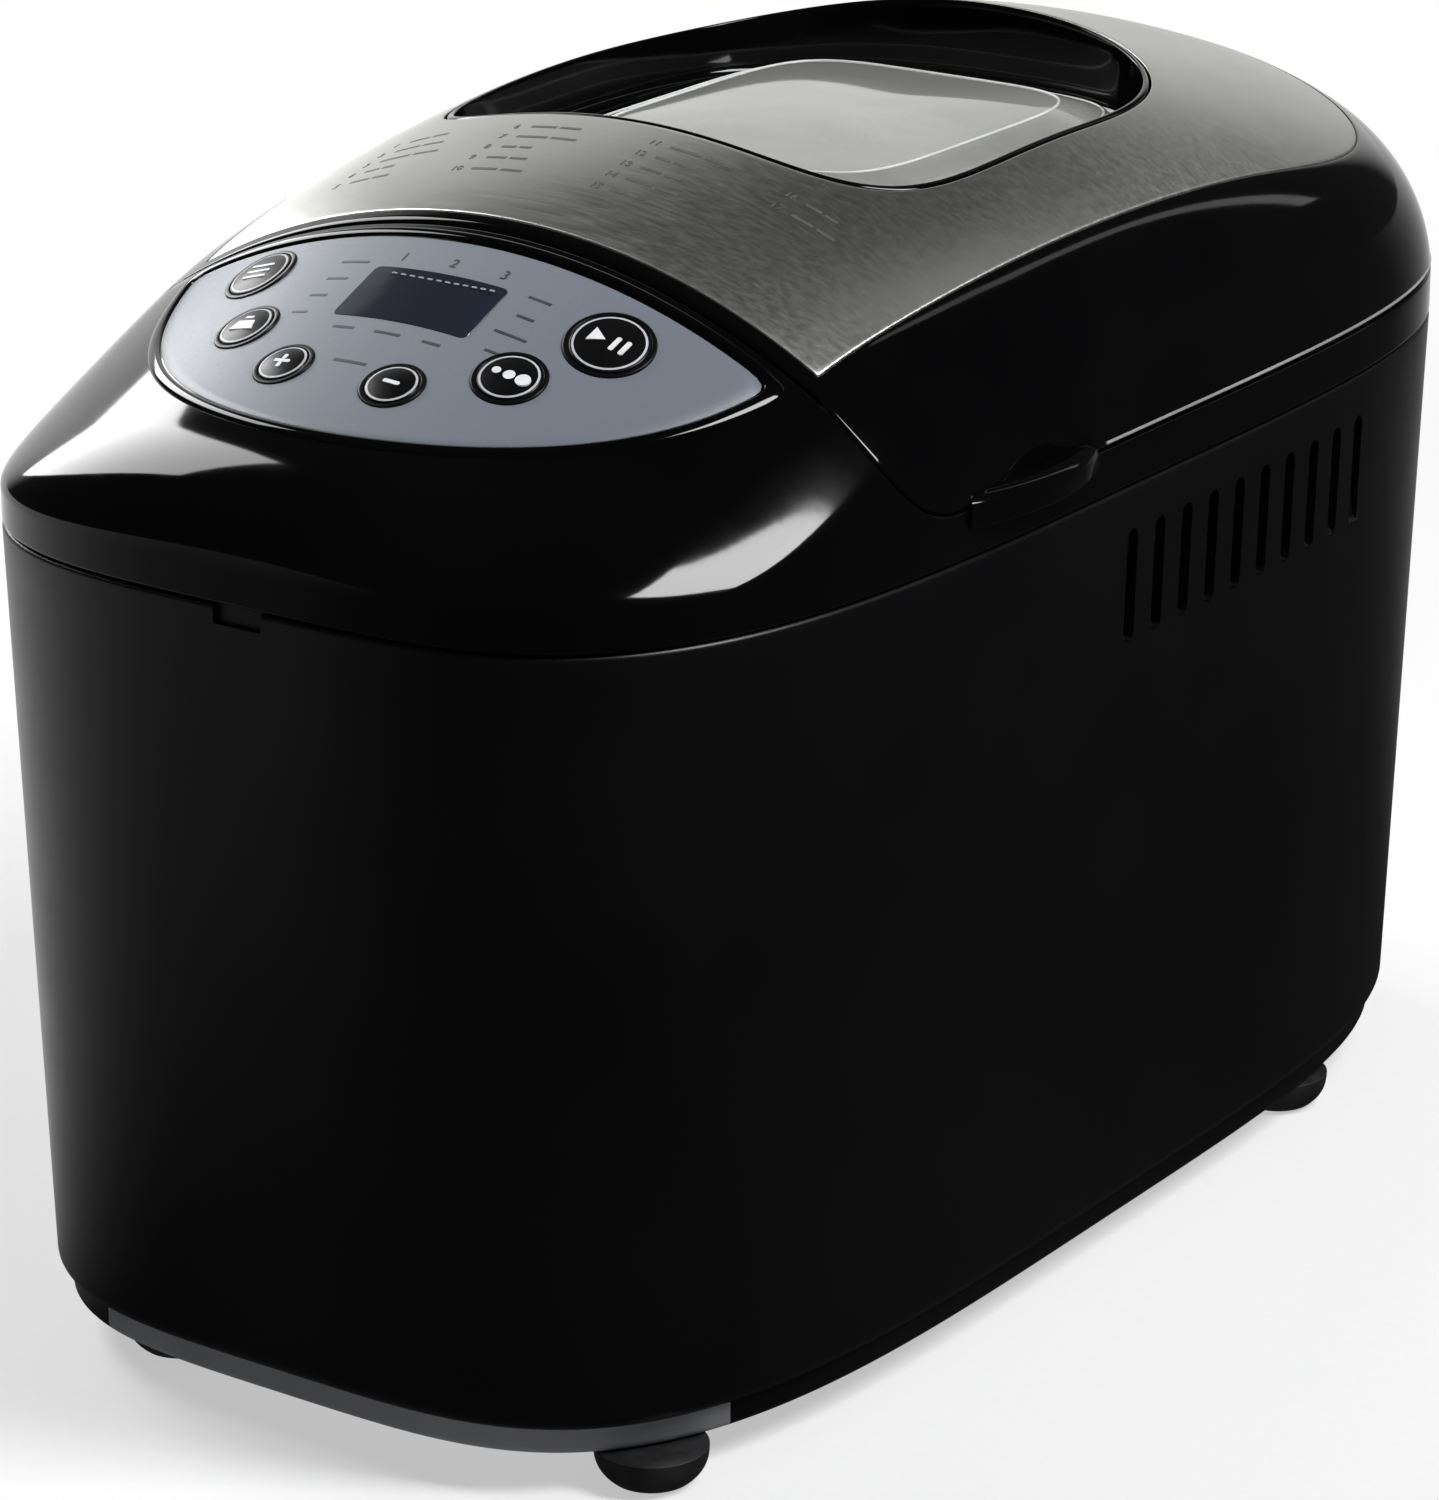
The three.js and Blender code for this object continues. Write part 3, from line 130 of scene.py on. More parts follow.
def rowPiece(name, rows, *fitting, ends="filled", **settings):
    rows = np.asarray(rows, float)
    faces = rowFaces(rows.shape[0], rows.shape[1], ends)
    return makePiece(name, rows.reshape(-1, 3), faces, *fitting, **settings)


# solid of revolution about +Z from (radius, height) pairs, placed by a matrix in mm
def turnedPiece(name, profile, *fitting, place=None, steps=64, ends="open", **settings):
    turns = np.linspace(0, 2 * math.pi, steps, endpoint=False)
    points = np.array([(r * math.cos(a), r * math.sin(a), z) for r, z in profile for a in turns])
    if place is not None:
        matrix = np.array(place)
        points = points @ matrix[:3, :3].T + matrix[:3, 3]
    return makePiece(name, points, rowFaces(len(profile), steps, ends), *fitting, **settings)


# points and faces of closed prisms from (outline, low end, high end); place puts a point of the outline at an end
def prisms(shapes, place=lambda x, y, z: (x, y, z)):
    points, faces = [], []
    for outline, low, high in shapes:
        start = len(points)
        points += [place(a, b, end) for end in (low, high) for a, b in outline]
        faces += [tuple(start + k for k in face) for face in rowFaces(2, len(outline), "filled")]
    return points, faces


# prism along X from (y, z) points
def crossPrism(points, x0, x1):
    return makePiece("cutter", *prisms([(points, x0, x1)], lambda y, z, x: (x, y, z)))


def uprightPrism(points, z0, z1):
    return makePiece("cutter", *prisms([(points, z0, z1)]))


def box(x0, x1, y0, y1, z0, z1):
    return uprightPrism([(x0, y0), (x1, y0), (x1, y1), (x0, y1)], z0, z1)


# cuts a closed helper solid out of a piece, adds it or keeps only what they share, then deletes the helper
def combine(piece, other, operation="DIFFERENCE"):
    modifier = piece.modifiers.new("step", "BOOLEAN")
    modifier.operation, modifier.solver, modifier.object = operation, "EXACT", other
    with bpy.context.temp_override(object=piece, active_object=piece, selected_objects=[piece]):
        bpy.ops.object.modifier_apply(modifier=modifier.name)
    bpy.data.objects.remove(other)


def carve(piece, cutters, smooth=38):
    for cutter in cutters:
        combine(piece, cutter)
    softenFaces(piece, smooth)


def rounded(x0, x1, y0, y1, radius, steps=8):
    points = []
    for cx, cy, start in ((x1 - radius, y0 + radius, -90), (x1 - radius, y1 - radius, 0),
                          (x0 + radius, y1 - radius, 90), (x0 + radius, y0 + radius, 180)):
        for i in range(steps + 1):
            a = math.radians(start + 90 * i / steps)
            points.append((cx + radius * math.cos(a), cy + radius * math.sin(a)))
    return np.array(points)


def atHeight(points, height):
    points = np.asarray(points, float)
    return np.column_stack([points[:, 0], points[:, 1], np.full(len(points), float(height))])


# rounded top edge of a wall: (inward, height) pairs of a quarter turn, from the wall to the flat
def quarter(radius, steps=5):
    return [(radius * (1 - math.cos(a)), radius * math.sin(a)) for a in np.linspace(0, math.pi / 2, steps + 1)]


# rounded foot of a wall, from the flat to the wall
def footQuarter(radius, steps=5):
    return [(inward, radius - height) for inward, height in quarter(radius, steps)[::-1]]


casing = {
    "halfWidth": 120,
    "halfDepth": 214,
    "power": 3.85,
    "draft": 5.4,
    "bottom": 16,
    "seam": 213.6,
    "wall": 2.6,
}
crown = {
    "halfWidth": 102,  # where the sides turn into the top
    "middle": 70,
    "front": 262,
    "frontPower": 4.6,
    "rear": 115,
    "rearPower": 3.3,
    "flankBase": 222,
    "flankPower": 2.15,
    "apexHeight": 305.2,
    "apexY": 25.4,
    "domeRadius": 472,
    "sideRadius": 183,
    "slopeRise": 0.435,
    "slopeY": -133.4,
    "slopeZ": 275.4,
    "blend": 1.2,
}


def power(value, exponent):
    return np.sign(value) * np.abs(value) ** exponent


# half of a rounded outline from its front middle over +X to its rear middle, evenly spaced
def halfOutline(halfX, middle, front, frontPower, rear=None, rearPower=None, count=400):
    rear = front if rear is None else rear
    rearPower = frontPower if rearPower is None else rearPower
    angle = math.pi * (np.linspace(0, 1, 4001) - 0.5)
    ahead = angle < 0
    exponent = np.where(ahead, 2 / frontPower, 2 / rearPower)
    x = halfX * np.maximum(np.cos(angle), 0) ** exponent
    y = middle + np.where(ahead, front, rear) * power(np.sin(angle), exponent)
    x[0] = x[-1] = 0
    return evenly(np.column_stack([x, y]), count)


def evenly(points, steps):
    points = np.asarray(points, float)
    length = np.concatenate([[0], np.cumsum(np.linalg.norm(np.diff(points, axis=0), axis=1))])
    places = np.linspace(0, length[-1], steps + 1)
    return np.column_stack([np.interp(places, length, points[:, k]) for k in range(points.shape[1])])


def mirrored(half):
    half = np.asarray(half, float)
    other = half[-2:0:-1].copy()
    other[:, 0] *= -1
    return np.vstack([half, other])


def casingOutline(inset, count=160):
    c = casing
    return mirrored(halfOutline(c["halfWidth"] - inset, 0, c["halfDepth"] - inset, c["power"], count=count))


def narrowing(height):
    return casing["draft"] * (casing["seam"] - height) / (casing["seam"] - casing["bottom"])


def topHeight(x, y):
    k = crown
    dome = k["apexHeight"] - (y - k["apexY"]) ** 2 / (2 * k["domeRadius"])
    slope = k["slopeZ"] + k["slopeRise"] * (y - k["slopeY"])
    s = k["blend"]
    low = np.minimum(dome, slope)
    ridge = low - s * np.log(np.exp(-(dome - low) / s) + np.exp(-(slope - low) / s))
    side = np.minimum(np.abs(x), 0.95 * k["sideRadius"])
    return ridge - (k["sideRadius"] - np.sqrt(k["sideRadius"] ** 2 - side ** 2))


creaseFine = 2000
creaseHalf = halfOutline(crown["halfWidth"], crown["middle"], crown["front"], crown["frontPower"],
                         crown["rear"], crown["rearPower"], count=creaseFine)


# the casing's outline point that faces each point of the crease
def wallPoints(crease):
    x, y = crease[:, 0], crease[:, 1]
    centre = 0.8 * y
    near, far = np.ones(len(x)), np.full(len(x), 4.0)
    for _ in range(50):
        k = (near + far) / 2
        side = np.abs(k * x) / casing["halfWidth"]
        along = np.abs(centre + k * (y - centre)) / casing["halfDepth"]
        outside = side ** casing["power"] + along ** casing["power"] > 1
        far, near = np.where(outside, k, far), np.where(outside, near, k)
    return np.column_stack([near * x, centre + near * (y - centre)])


wallHalf = wallPoints(creaseHalf)
creaseTop = topHeight(creaseHalf[:, 0], creaseHalf[:, 1])
creaseStep = 0.01  # how far along the top its slope is measured, as a share of the way to the wall
shiftTop = topHeight(*(creaseHalf + creaseStep * (wallHalf - creaseHalf)).T)
cornerTop = creaseTop + (shiftTop - creaseTop) / creaseStep  # where the top's slope meets the wall's plane


def along(values, place):
    return np.interp(place * creaseFine, np.arange(creaseFine + 1), values)


# point of the upper casing: place 0 is the front middle and 1 the rear middle of the crease,
# level 0 is the top's middle, 1 the crease, 2 the foot of the flank, 3 the seam
def upperPoint(place, level):
    place, level = np.broadcast_arrays(np.asarray(place, float), np.asarray(level, float))
    cx, cy = along(creaseHalf[:, 0], place), along(creaseHalf[:, 1], place)
    wx, wy = along(wallHalf[:, 0], place), along(wallHalf[:, 1], place)
    topZ, cornerZ = along(creaseTop, place), along(cornerTop, place)
    base, exponent = crown["flankBase"], 2 / crown["flankPower"]
    inner = np.clip(level, 0, 1)
    turn = np.clip(2 - level, 0, 1) * math.pi / 2
    inwards = 1 - np.maximum(np.cos(turn), 0) ** exponent
    upwards = np.maximum(np.sin(turn), 0) ** exponent
    flankX, flankY = wx + (cx - wx) * inwards, wy + (cy - wy) * inwards
    flankZ = base + (cornerZ - base) * upwards + (topZ - cornerZ) * inwards
    flankZ = flankZ - np.clip(level - 2, 0, 1) * (base - casing["seam"])
    onTop = level < 1
    x = np.where(onTop, inner * cx, flankX)
    y = np.where(onTop, inner * cy, flankY)
    z = np.where(onTop, topHeight(inner * cx, inner * cy), flankZ)
    return np.stack([x, y, z], -1)


def upperNormal(place, level):
    d = 1e-3
    p0, p1 = upperPoint(np.clip(place - d, 0, 1), level), upperPoint(np.clip(place + d, 0, 1), level)
    q0, q1 = upperPoint(place, level - d), upperPoint(place, level + d)
    normal = np.cross(q1 - q0, p1 - p0)
    normal /= np.maximum(np.linalg.norm(normal, axis=-1, keepdims=True), 1e-12)
    outward = np.stack([np.zeros_like(place), np.zeros_like(place), np.ones_like(place)], -1)
    point = upperPoint(place, level)
    outward[..., 0] = np.where(level > 1.3, point[..., 0], 0)
    outward[..., 1] = np.where(level > 1.3, point[..., 1], 0)
    outward[..., 2] = np.where(level > 1.3, 0, 1)
    return normal * np.sign((normal * outward).sum(-1, keepdims=True))


# level on the top for a plan position, and its place round the crease
def topPlace(points):
    points = np.asarray(points, float)
    bearing = np.arctan2(np.abs(points[:, 0]), -points[:, 1])
    fine = np.arctan2(creaseHalf[:, 0], -creaseHalf[:, 1])
    place = np.interp(bearing, fine, np.linspace(0, 1, creaseFine + 1))
    crease = np.hypot(along(creaseHalf[:, 0], place), along(creaseHalf[:, 1], place))
    return place, np.hypot(points[:, 0], points[:, 1]) / crease


# level of a height on the flank, for each place
def flankLevel(place, height):
    low, high = np.ones_like(place), np.full_like(place, 3.0)
    for _ in range(40):
        middle = (low + high) / 2
        above = upperPoint(place, middle)[..., 2] > height
        low, high = np.where(above, middle, low), np.where(above, high, middle)
    return (low + high) / 2


# place on the flank of a point given by its Y and height
def flankPlace(y, height):
    low, high = np.zeros_like(y), np.ones_like(y)
    for _ in range(40):
        middle = (low + high) / 2
        point = upperPoint(middle, flankLevel(middle, height))
        ahead = point[..., 1] < y
        low, high = np.where(ahead, middle, low), np.where(ahead, high, middle)
    return (low + high) / 2


def linear(hexColour):
    values = [int(hexColour[i:i + 2], 16) / 255 for i in (1, 3, 5)]
    return tuple(v / 12.92 if v <= 0.04045 else ((v + 0.055) / 1.055) ** 2.4 for v in values) + (1.0,)


# adds one node: settings by name, inputs by socket, each a value, a socket or a node whose first output it takes;
# stops of (position, hex colour) fill a ramp, and the node's first output also goes to a socket given as onward
def addNode(tree, kind, inputs=None, stops=(), onward=None, **settings):
    node = tree.nodes.new(kind)
    for key, value in settings.items():
        setattr(node, key, value)
    for key, value in (inputs or {}).items():
        source = value.outputs[0] if isinstance(value, bpy.types.Node) else value
        if isinstance(source, bpy.types.NodeSocket):
            tree.links.new(source, node.inputs[key])
        else:
            node.inputs[key].default_value = source
    for i, (position, colour) in enumerate(stops):
        ramp = node.color_ramp.elements
        element = ramp[i] if i < 2 else ramp.new(position)
        element.position, element.color = position, linear(colour)
    if onward:
        tree.links.new(node.outputs[0], onward)
    return node


def startMaterial(name, inputs):
    material = bpy.data.materials.new(name)
    material.use_nodes = True
    tree = material.node_tree
    tree.nodes.clear()
    shader = addNode(tree, "ShaderNodeBsdfPrincipled", inputs)
    addNode(tree, "ShaderNodeOutputMaterial", {"Surface": shader})
    place = addNode(tree, "ShaderNodeTexCoord").outputs["Object"]
    return material, tree, shader, place


# scale of a pattern whose features are this many mm across
def scaleFor(size):
    return 1 / (size * millimetre)


# shade from one pattern, and where they are given roughness from a second and relief in mm from a third
def dress(tree, shader, tint, stops, wear=None, rough=(), relief=None, depth=0.0):
    addNode(tree, "ShaderNodeValToRGB", {"Fac": tint}, stops, shader.inputs["Base Color"])
    if wear:
        addNode(tree, "ShaderNodeMapRange", {
            "Value": wear, "From Min": 0.3, "From Max": 0.7, "To Min": rough[0], "To Max": rough[1],
        }, onward=shader.inputs["Roughness"])
    if relief:
        addNode(tree, "ShaderNodeBump", {"Height": relief, "Distance": depth * millimetre, "Strength": 1.0},
                onward=shader.inputs["Normal"])


# colour that drifts between two shades, roughness that drifts between two values, and a fine grain
def mouldedMaterial(name, dark, light, roughLow, roughHigh, cloud=4, grain=0.5, depth=0.01, **inputs):
    settings = {key.replace("_", " "): value for key, value in inputs.items()}
    material, tree, shader, place = startMaterial(name, settings)
    clouds, wear, fine = (addNode(tree, "ShaderNodeTexNoise", {
        "Vector": place, "Scale": scaleFor(size), "Detail": detail, "Roughness": mix,
    }) for size, detail, mix in ((cloud, 4, 0.5), (cloud / 3, 5, 0.6), (grain, 2, 0.5)))
    dress(tree, shader, clouds, [(0.35, dark), (0.65, light)], wear, (roughLow, roughHigh), fine, depth)
    return material


# polished ABS, moulded against a mirror finish: near black, with clear lamps and a faint ripple
glossBlack = mouldedMaterial("polishedBlackAbs", "#030304", "#060607", 0.05, 0.08, cloud=70, grain=9,
                             depth=0.01, IOR=1.33)
# ABS moulded against a fine spark texture: black with a soft, wide sheen
satinBlack = mouldedMaterial("texturedBlackAbs", "#030305", "#070709", 0.32, 0.38, cloud=90, grain=0.9,
                             depth=0.004, IOR=1.38)
# ABS left as moulded inside: dull charcoal
innerBlack = mouldedMaterial("plainBlackAbs", "#0d0d0e", "#151516", 0.35, 0.5, cloud=30, grain=0.8, IOR=1.45)
# mass-coloured grey ABS: an even grey that shades from light to dark round the curve
greyBase = mouldedMaterial("greyAbs", "#5c5d60", "#67686b", 0.3, 0.4, cloud=40, grain=0.8, depth=0.008, IOR=1.45)
# moulded rubber: dark, dull, with a dusty bloom
footRubber = mouldedMaterial("mouldedRubber", "#121214", "#1e1f21", 0.4, 0.6, cloud=9, grain=0.7,
                             depth=0.02, IOR=1.5)
# silicone seal: soft pale grey
sealSilicone = mouldedMaterial("siliconeRubber", "#8d8f8d", "#a2a4a1", 0.45, 0.6, cloud=20, grain=0.6, IOR=1.42)
# white nylon moulding: milky with a waxy sheen
whiteMoulding = mouldedMaterial("whiteNylon", "#d6d3ca", "#e2dfd6", 0.38, 0.5, cloud=16, grain=0.7)
# toothed belt rubber: matt black
beltRubber = mouldedMaterial("neopreneBelt", "#0c0c0d", "#161617", 0.6, 0.75, cloud=12, grain=0.6, depth=0.02)
# glass-fibre circuit board under green lacquer
boardGreen = mouldedMaterial("lacqueredBoard", "#12421f", "#1b5a2c", 0.25, 0.4, cloud=6, grain=0.8)
# aluminised sheet steel: bright grey with a faint spangle
sheetSteel = mouldedMaterial("aluminisedSteel", "#8e8f90", "#b2b3b3", 0.28, 0.42, cloud=7, grain=0.8,
                             depth=0.004, Metallic=1.0)
# die-cast aluminium: pale grey, grainy
castMetal = mouldedMaterial("dieCastAluminium", "#8a8b8c", "#a3a4a5", 0.42, 0.55, cloud=8, grain=1.1,
                            depth=0.02, Metallic=1.0)
# mineral-filled non-stick coating, sprayed: charcoal with a fine pebble
nonStick = mouldedMaterial("nonStickCoating", "#242527", "#313235", 0.34, 0.46, cloud=14, grain=0.8,
                           depth=0.025, IOR=1.5, Specular_IOR_Level=0.7)
# oxidised tubular heater sheath: dark brown grey
heaterSteel = mouldedMaterial("oxidisedSteel", "#3c3733", "#565049", 0.38, 0.55, cloud=10, grain=0.8, Metallic=1.0)
# bright-rolled steel wire and pins
wireSteel = mouldedMaterial("drawnSteelWire", "#b4b3b0", "#cac9c6", 0.16, 0.28, cloud=6, grain=0.9,
                            depth=0.003, Metallic=1.0)

stage = {
    "rings": (0.5, 1, 2, 4, 8, 16, 30),  # radii in metres, out to the horizon
    "sides": 96,
    "nearFloor": 0.3,  # metres; the paper starts to glow from here
    "farFloor": 1.2,
    "nearGlow": 0.5,
}
studio = {
    "aim": (20, -190, 240),
    "backdrop": (-0.62, 0.77, 0.1),  # middle of the pale backdrop behind the machine; the rest of the room is dark
    "backdropFade": (0.8, 0.93),  # cosines from the middle at which it is dark and fully pale
    "palePaper": (-1, 0.35, 0),  # side on which the paper mirrored in the machine is pale
    "paperFade": (0, 0.92),
    "dark": 0.035,
    "bright": 1.0,
    "left": {"ends": ((-117, 13), (-79, 47)), "distance": 1.5, "spread": 17, "radiance": 10},
    "right": {"ends": ((112, 30), (102, 63)), "distance": 1.5, "spread": 13.5, "radiance": 26},
    # thin and far back on the right: draws the edges of the lid and the cover
    "rear": {"ends": ((163, 12), (170, 56)), "distance": 1.5, "spread": 3, "radiance": 1},
}


# brightness of what stands in a direction: pale round the middle direction, dark away from it
def paleShare(tree, towards, middle, fade):
    share = addNode(tree, "ShaderNodeVectorMath", {0: towards, 1: middle}, operation="DOT_PRODUCT")
    return addNode(tree, "ShaderNodeMapRange", {
        "Value": share.outputs["Value"], "From Min": fade[0], "From Max": fade[1],
        "To Min": studio["dark"], "To Max": studio["bright"],
    }, interpolation_type="SMOOTHSTEP")


# white studio paper: flat and bright, glowing a little further out so that it stays white to the horizon;
# what it mirrors into the machine is pale only on the backdrop's side
def floorPaper():
    material, tree, shader, place = startMaterial("studioPaper", {"Roughness": 0.9, "IOR": 1.2})
    surface = shader.outputs[0].links[0].to_socket
    grain = addNode(tree, "ShaderNodeTexNoise", {"Vector": place, "Scale": scaleFor(3), "Detail": 3})
    dress(tree, shader, grain, [(0.3, "#f4f4f4"), (0.7, "#f7f7f7")])
    reach = addNode(tree, "ShaderNodeVectorMath", {0: place}, operation="LENGTH").outputs["Value"]
    far = addNode(tree, "ShaderNodeMapRange", {
        "Value": reach, "From Min": stage["nearFloor"], "From Max": stage["farFloor"],
        "To Min": stage["nearGlow"], "To Max": 1.0,
    }, interpolation_type="SMOOTHSTEP")
    glow = addNode(tree, "ShaderNodeEmission", {"Color": (1, 1, 1, 1), "Strength": 1.0})
    seen = addNode(tree, "ShaderNodeMixShader", {"Fac": far, 1: shader, 2: glow})
    outward = addNode(tree, "ShaderNodeVectorMath", {0: place}, operation="NORMALIZE")
    pale = paleShare(tree, outward, studio["palePaper"], studio["paperFade"])
    mirrored = addNode(tree, "ShaderNodeEmission", {"Color": pale, "Strength": 1.0})
    glossy = addNode(tree, "ShaderNodeLightPath").outputs["Is Glossy Ray"]
    addNode(tree, "ShaderNodeMixShader", {"Fac": glossy, 1: seen, 2: mirrored}, onward=surface)
    return material


def makeStage():
    turns = np.linspace(0, 2 * math.pi, stage["sides"], endpoint=False)
    points = np.array([(r * math.cos(a), r * math.sin(a), 0) for r in stage["rings"] for a in turns]) / millimetre
    faces = rowFaces(len(stage["rings"]), stage["sides"], "firstFilled")
    floor = makePiece("studioFloor", points, faces, floorPaper())
    floor.data.flip_normals()


# long soft lamp that faces a point; its two ends are given by the directions they are seen in from there
def stripLamp(name, ends, distance, spread, radiance):
    first, last = (direction(*end) for end in ends)
    outward, across = (first + last).normalized(), (last - first).normalized()
    data = bpy.data.lights.new(name, "AREA")
    data.shape = "RECTANGLE"
    data.size = 2 * distance * math.tan(first.angle(last) / 2)
    data.size_y = 2 * distance * math.tan(math.radians(spread) / 2)
    data.energy = radiance * math.pi * data.size * data.size_y
    lamp = linked(name, data)
    lamp.location = Vector(studio["aim"]) * millimetre + outward * distance
    lamp.rotation_mode = "QUATERNION"
    lamp.rotation_quaternion = Matrix((across, outward.cross(across), outward)).transposed().to_quaternion()


# pale backdrop in a dark room as the machine mirrors it, plain white to the eye and through glass
def makeWorld():
    world = bpy.data.worlds.new("studioRoom")
    bpy.context.scene.world = world
    world.use_nodes = True
    tree = world.node_tree
    tree.nodes.clear()
    towards = addNode(tree, "ShaderNodeTexCoord").outputs["Generated"]
    pale = paleShare(tree, towards, studio["backdrop"], studio["backdropFade"])
    room = addNode(tree, "ShaderNodeBackground", {"Color": pale, "Strength": 1.0})
    white = addNode(tree, "ShaderNodeBackground", {"Color": (1, 1, 1, 1), "Strength": 1.0})
    rays = addNode(tree, "ShaderNodeLightPath").outputs
    seen = addNode(tree, "ShaderNodeMath", {0: rays["Is Camera Ray"], 1: rays["Is Transmission Ray"]},
                   operation="MAXIMUM")
    mix = addNode(tree, "ShaderNodeMixShader", {"Fac": seen, 1: room, 2: white})
    addNode(tree, "ShaderNodeOutputWorld", {"Surface": mix})


makeStage()
for side in ("left", "right", "rear"):
    stripLamp(side + "Strip", **studio[side])
makeWorld()
bpy.context.scene.view_settings.view_transform = "Standard"
print("camera, stage and lamps placed")

# loops on the upper casing are (place, level) pairs from the front middle to the rear middle
lid = {
    "partingY": -116,
    "edge": 226,
    "cornerRadius": 26,  # lower front corner at the sides
    "innerX": 98,
    "innerRadius": 6,
    "wall": 3.2,
    "frontRoll": 3.4,  # rounded front edge
    "edgeRoll": 1.3,
    "lipMiddle": -58,
    "lipLength": 58,
    "lipReach": 5.6,
    "lipDrop": 5,
    "lipRise": 3.2,
    "lipRound": (1.2, 4.4),  # radius of its lower and its upper edge
    "lipSunk": (0.8, 1.6),  # depth of its ends and of its root in the skin
    "holeRoll": 0.4,  # round the opening for the cover
}
cover = {
    "front": -111,
    "frontHalf": 92,
    "bow": 0.000302,
    "thick": 1,
    "bevel": 0.45,
    "lap": 0.2,  # how far it reaches over the well's edge
    "wellHalfWidth": 76,
    "wellMiddle": 25,
    "wellFront": 82.4,
    "wellFrontPower": 4.7,
    "wellRear": 85,
    "wellRearPower": 2.9,
    "wellFloor": 275,
}
loopParts = (58, 6, 30, 206)  # steps along the front, down the flank, round the corner, along the side
loopSteps = sum(loopParts)


def partingLoop(offset):
    frontY = lid["partingY"] - offset
    creaseY = np.abs(creaseHalf[: creaseFine // 2, 1] - frontY)
    crossing = creaseHalf[np.argmin(creaseY), 0]
    frontX = np.linspace(0, crossing, loopParts[0] + 1)
    frontPlace, frontLevel = topPlace(np.column_stack([frontX, np.full(len(frontX), frontY)]))
    centreY, centreZ = lid["partingY"] + lid["cornerRadius"], lid["edge"] + lid["cornerRadius"]
    startZ = topHeight(crossing, frontY)
    flankZ = np.linspace(startZ, centreZ, loopParts[1] + 1)[1:]
    angle = math.pi * (1 + 0.5 * np.linspace(0, 1, loopParts[2] + 1)[1:])
    reach = lid["cornerRadius"] + offset
    y = np.concatenate([np.full(len(flankZ), frontY), centreY + reach * np.cos(angle)])
    z = np.concatenate([flankZ, centreZ + reach * np.sin(angle)])
    turnPlace = flankPlace(y, z)
    turnLevel = flankLevel(turnPlace, z)
    coverPlace = topPlace(coverHalf(0))[0]
    done = sum(loopParts[:3])
    follow = (coverPlace[done:] - coverPlace[done]) / (1 - coverPlace[done])
    sidePlace = turnPlace[-1] + (1 - turnPlace[-1]) * follow[1:]
    sideLevel = flankLevel(sidePlace, np.full(len(sidePlace), lid["edge"] - offset))
    place = np.concatenate([frontPlace, turnPlace, sidePlace])
    place[-1] = 1
    return place, np.concatenate([np.minimum(frontLevel, 1), turnLevel, sideLevel])


# half of the cover's plan: straight front, bowed side, rounded rear
def coverHalf(grow):
    frontY = cover["front"] - grow
    front = evenly([(0, frontY), (cover["frontHalf"] + grow, frontY)], 60)
    sideY = np.linspace(frontY, crown["middle"], 200)
    sideX = crown["halfWidth"] + grow - cover["bow"] * (sideY - crown["middle"]) ** 2
    sideX[0] = cover["frontHalf"] + grow
    angle = np.linspace(0, math.pi / 2, 400)[1:]
    exponent = 2 / crown["rearPower"]
    rearX = (crown["halfWidth"] + grow) * np.maximum(np.cos(angle), 0) ** exponent
    rearY = crown["middle"] + (crown["rear"] + grow) * np.sin(angle) ** exponent
    side = np.vstack([np.column_stack([sideX, sideY]), np.column_stack([rearX, rearY])])
    side[-1, 0] = 0
    return np.vstack([front[:-1], evenly(side, loopSteps - 60)])


# point of a split outline in the direction of each other point
def towards(halfX, middle, front, frontPower, rear, rearPower, points):
    ahead = points[:, 1] < middle
    reach, n = np.where(ahead, front, rear), np.where(ahead, frontPower, rearPower)
    share = ((np.abs(points[:, 0]) / halfX) ** n + (np.abs(points[:, 1] - middle) / reach) ** n) ** (-1 / n)
    return np.column_stack([share * points[:, 0], middle + share * (points[:, 1] - middle)])


def wellHalf(inset):
    c = cover
    return towards(c["wellHalfWidth"] - inset, c["wellMiddle"], c["wellFront"] - inset, c["wellFrontPower"],
                   c["wellRear"] - inset, c["wellRearPower"], coverHalf(0))


def fullRing(half):
    half = half.copy()
    half[0, 0] = half[-1, 0] = 0
    return mirrored(half)


# rows across the skin between two loops, rounded over and turned in at both ends; radii may vary along a loop
def skinRows(first, last, middleRows, firstRoll, lastRoll, firstDepth, lastDepth):
    place = lambda t: first[0] + (last[0] - first[0]) * t
    level = lambda t: first[1] + (last[1] - first[1]) * t
    at = lambda t: upperPoint(place(t), level(t))
    normal = lambda t: upperNormal(np.clip(place(t), 0.0005, 0.9995), level(t))
    below = lambda t, depth: at(t) - np.reshape(depth, (-1, 1)) * normal(t)
    zero, one, tiny = np.zeros(loopSteps + 1), np.ones(loopSteps + 1), 1e-3
    firstPace = np.linalg.norm(at(zero + tiny) - at(zero), axis=-1) / tiny
    lastPace = np.linalg.norm(at(one) - at(one - tiny), axis=-1) / tiny
    rows = [below(zero, firstDepth)]
    for inward, height in quarter(1)[:-1]:
        rows.append(below(firstRoll * inward / firstPace, firstRoll * (1 - height)))
    start, end = firstRoll / firstPace, 1 - lastRoll / lastPace
    rows += [at(start + (end - start) * share) for share in np.linspace(0, 1, middleRows)]
    for inward, height in quarter(1)[-2::-1]:
        rows.append(below(1 - lastRoll * inward / lastPace, lastRoll * (1 - height)))
    return rows + [below(one, lastDepth)]


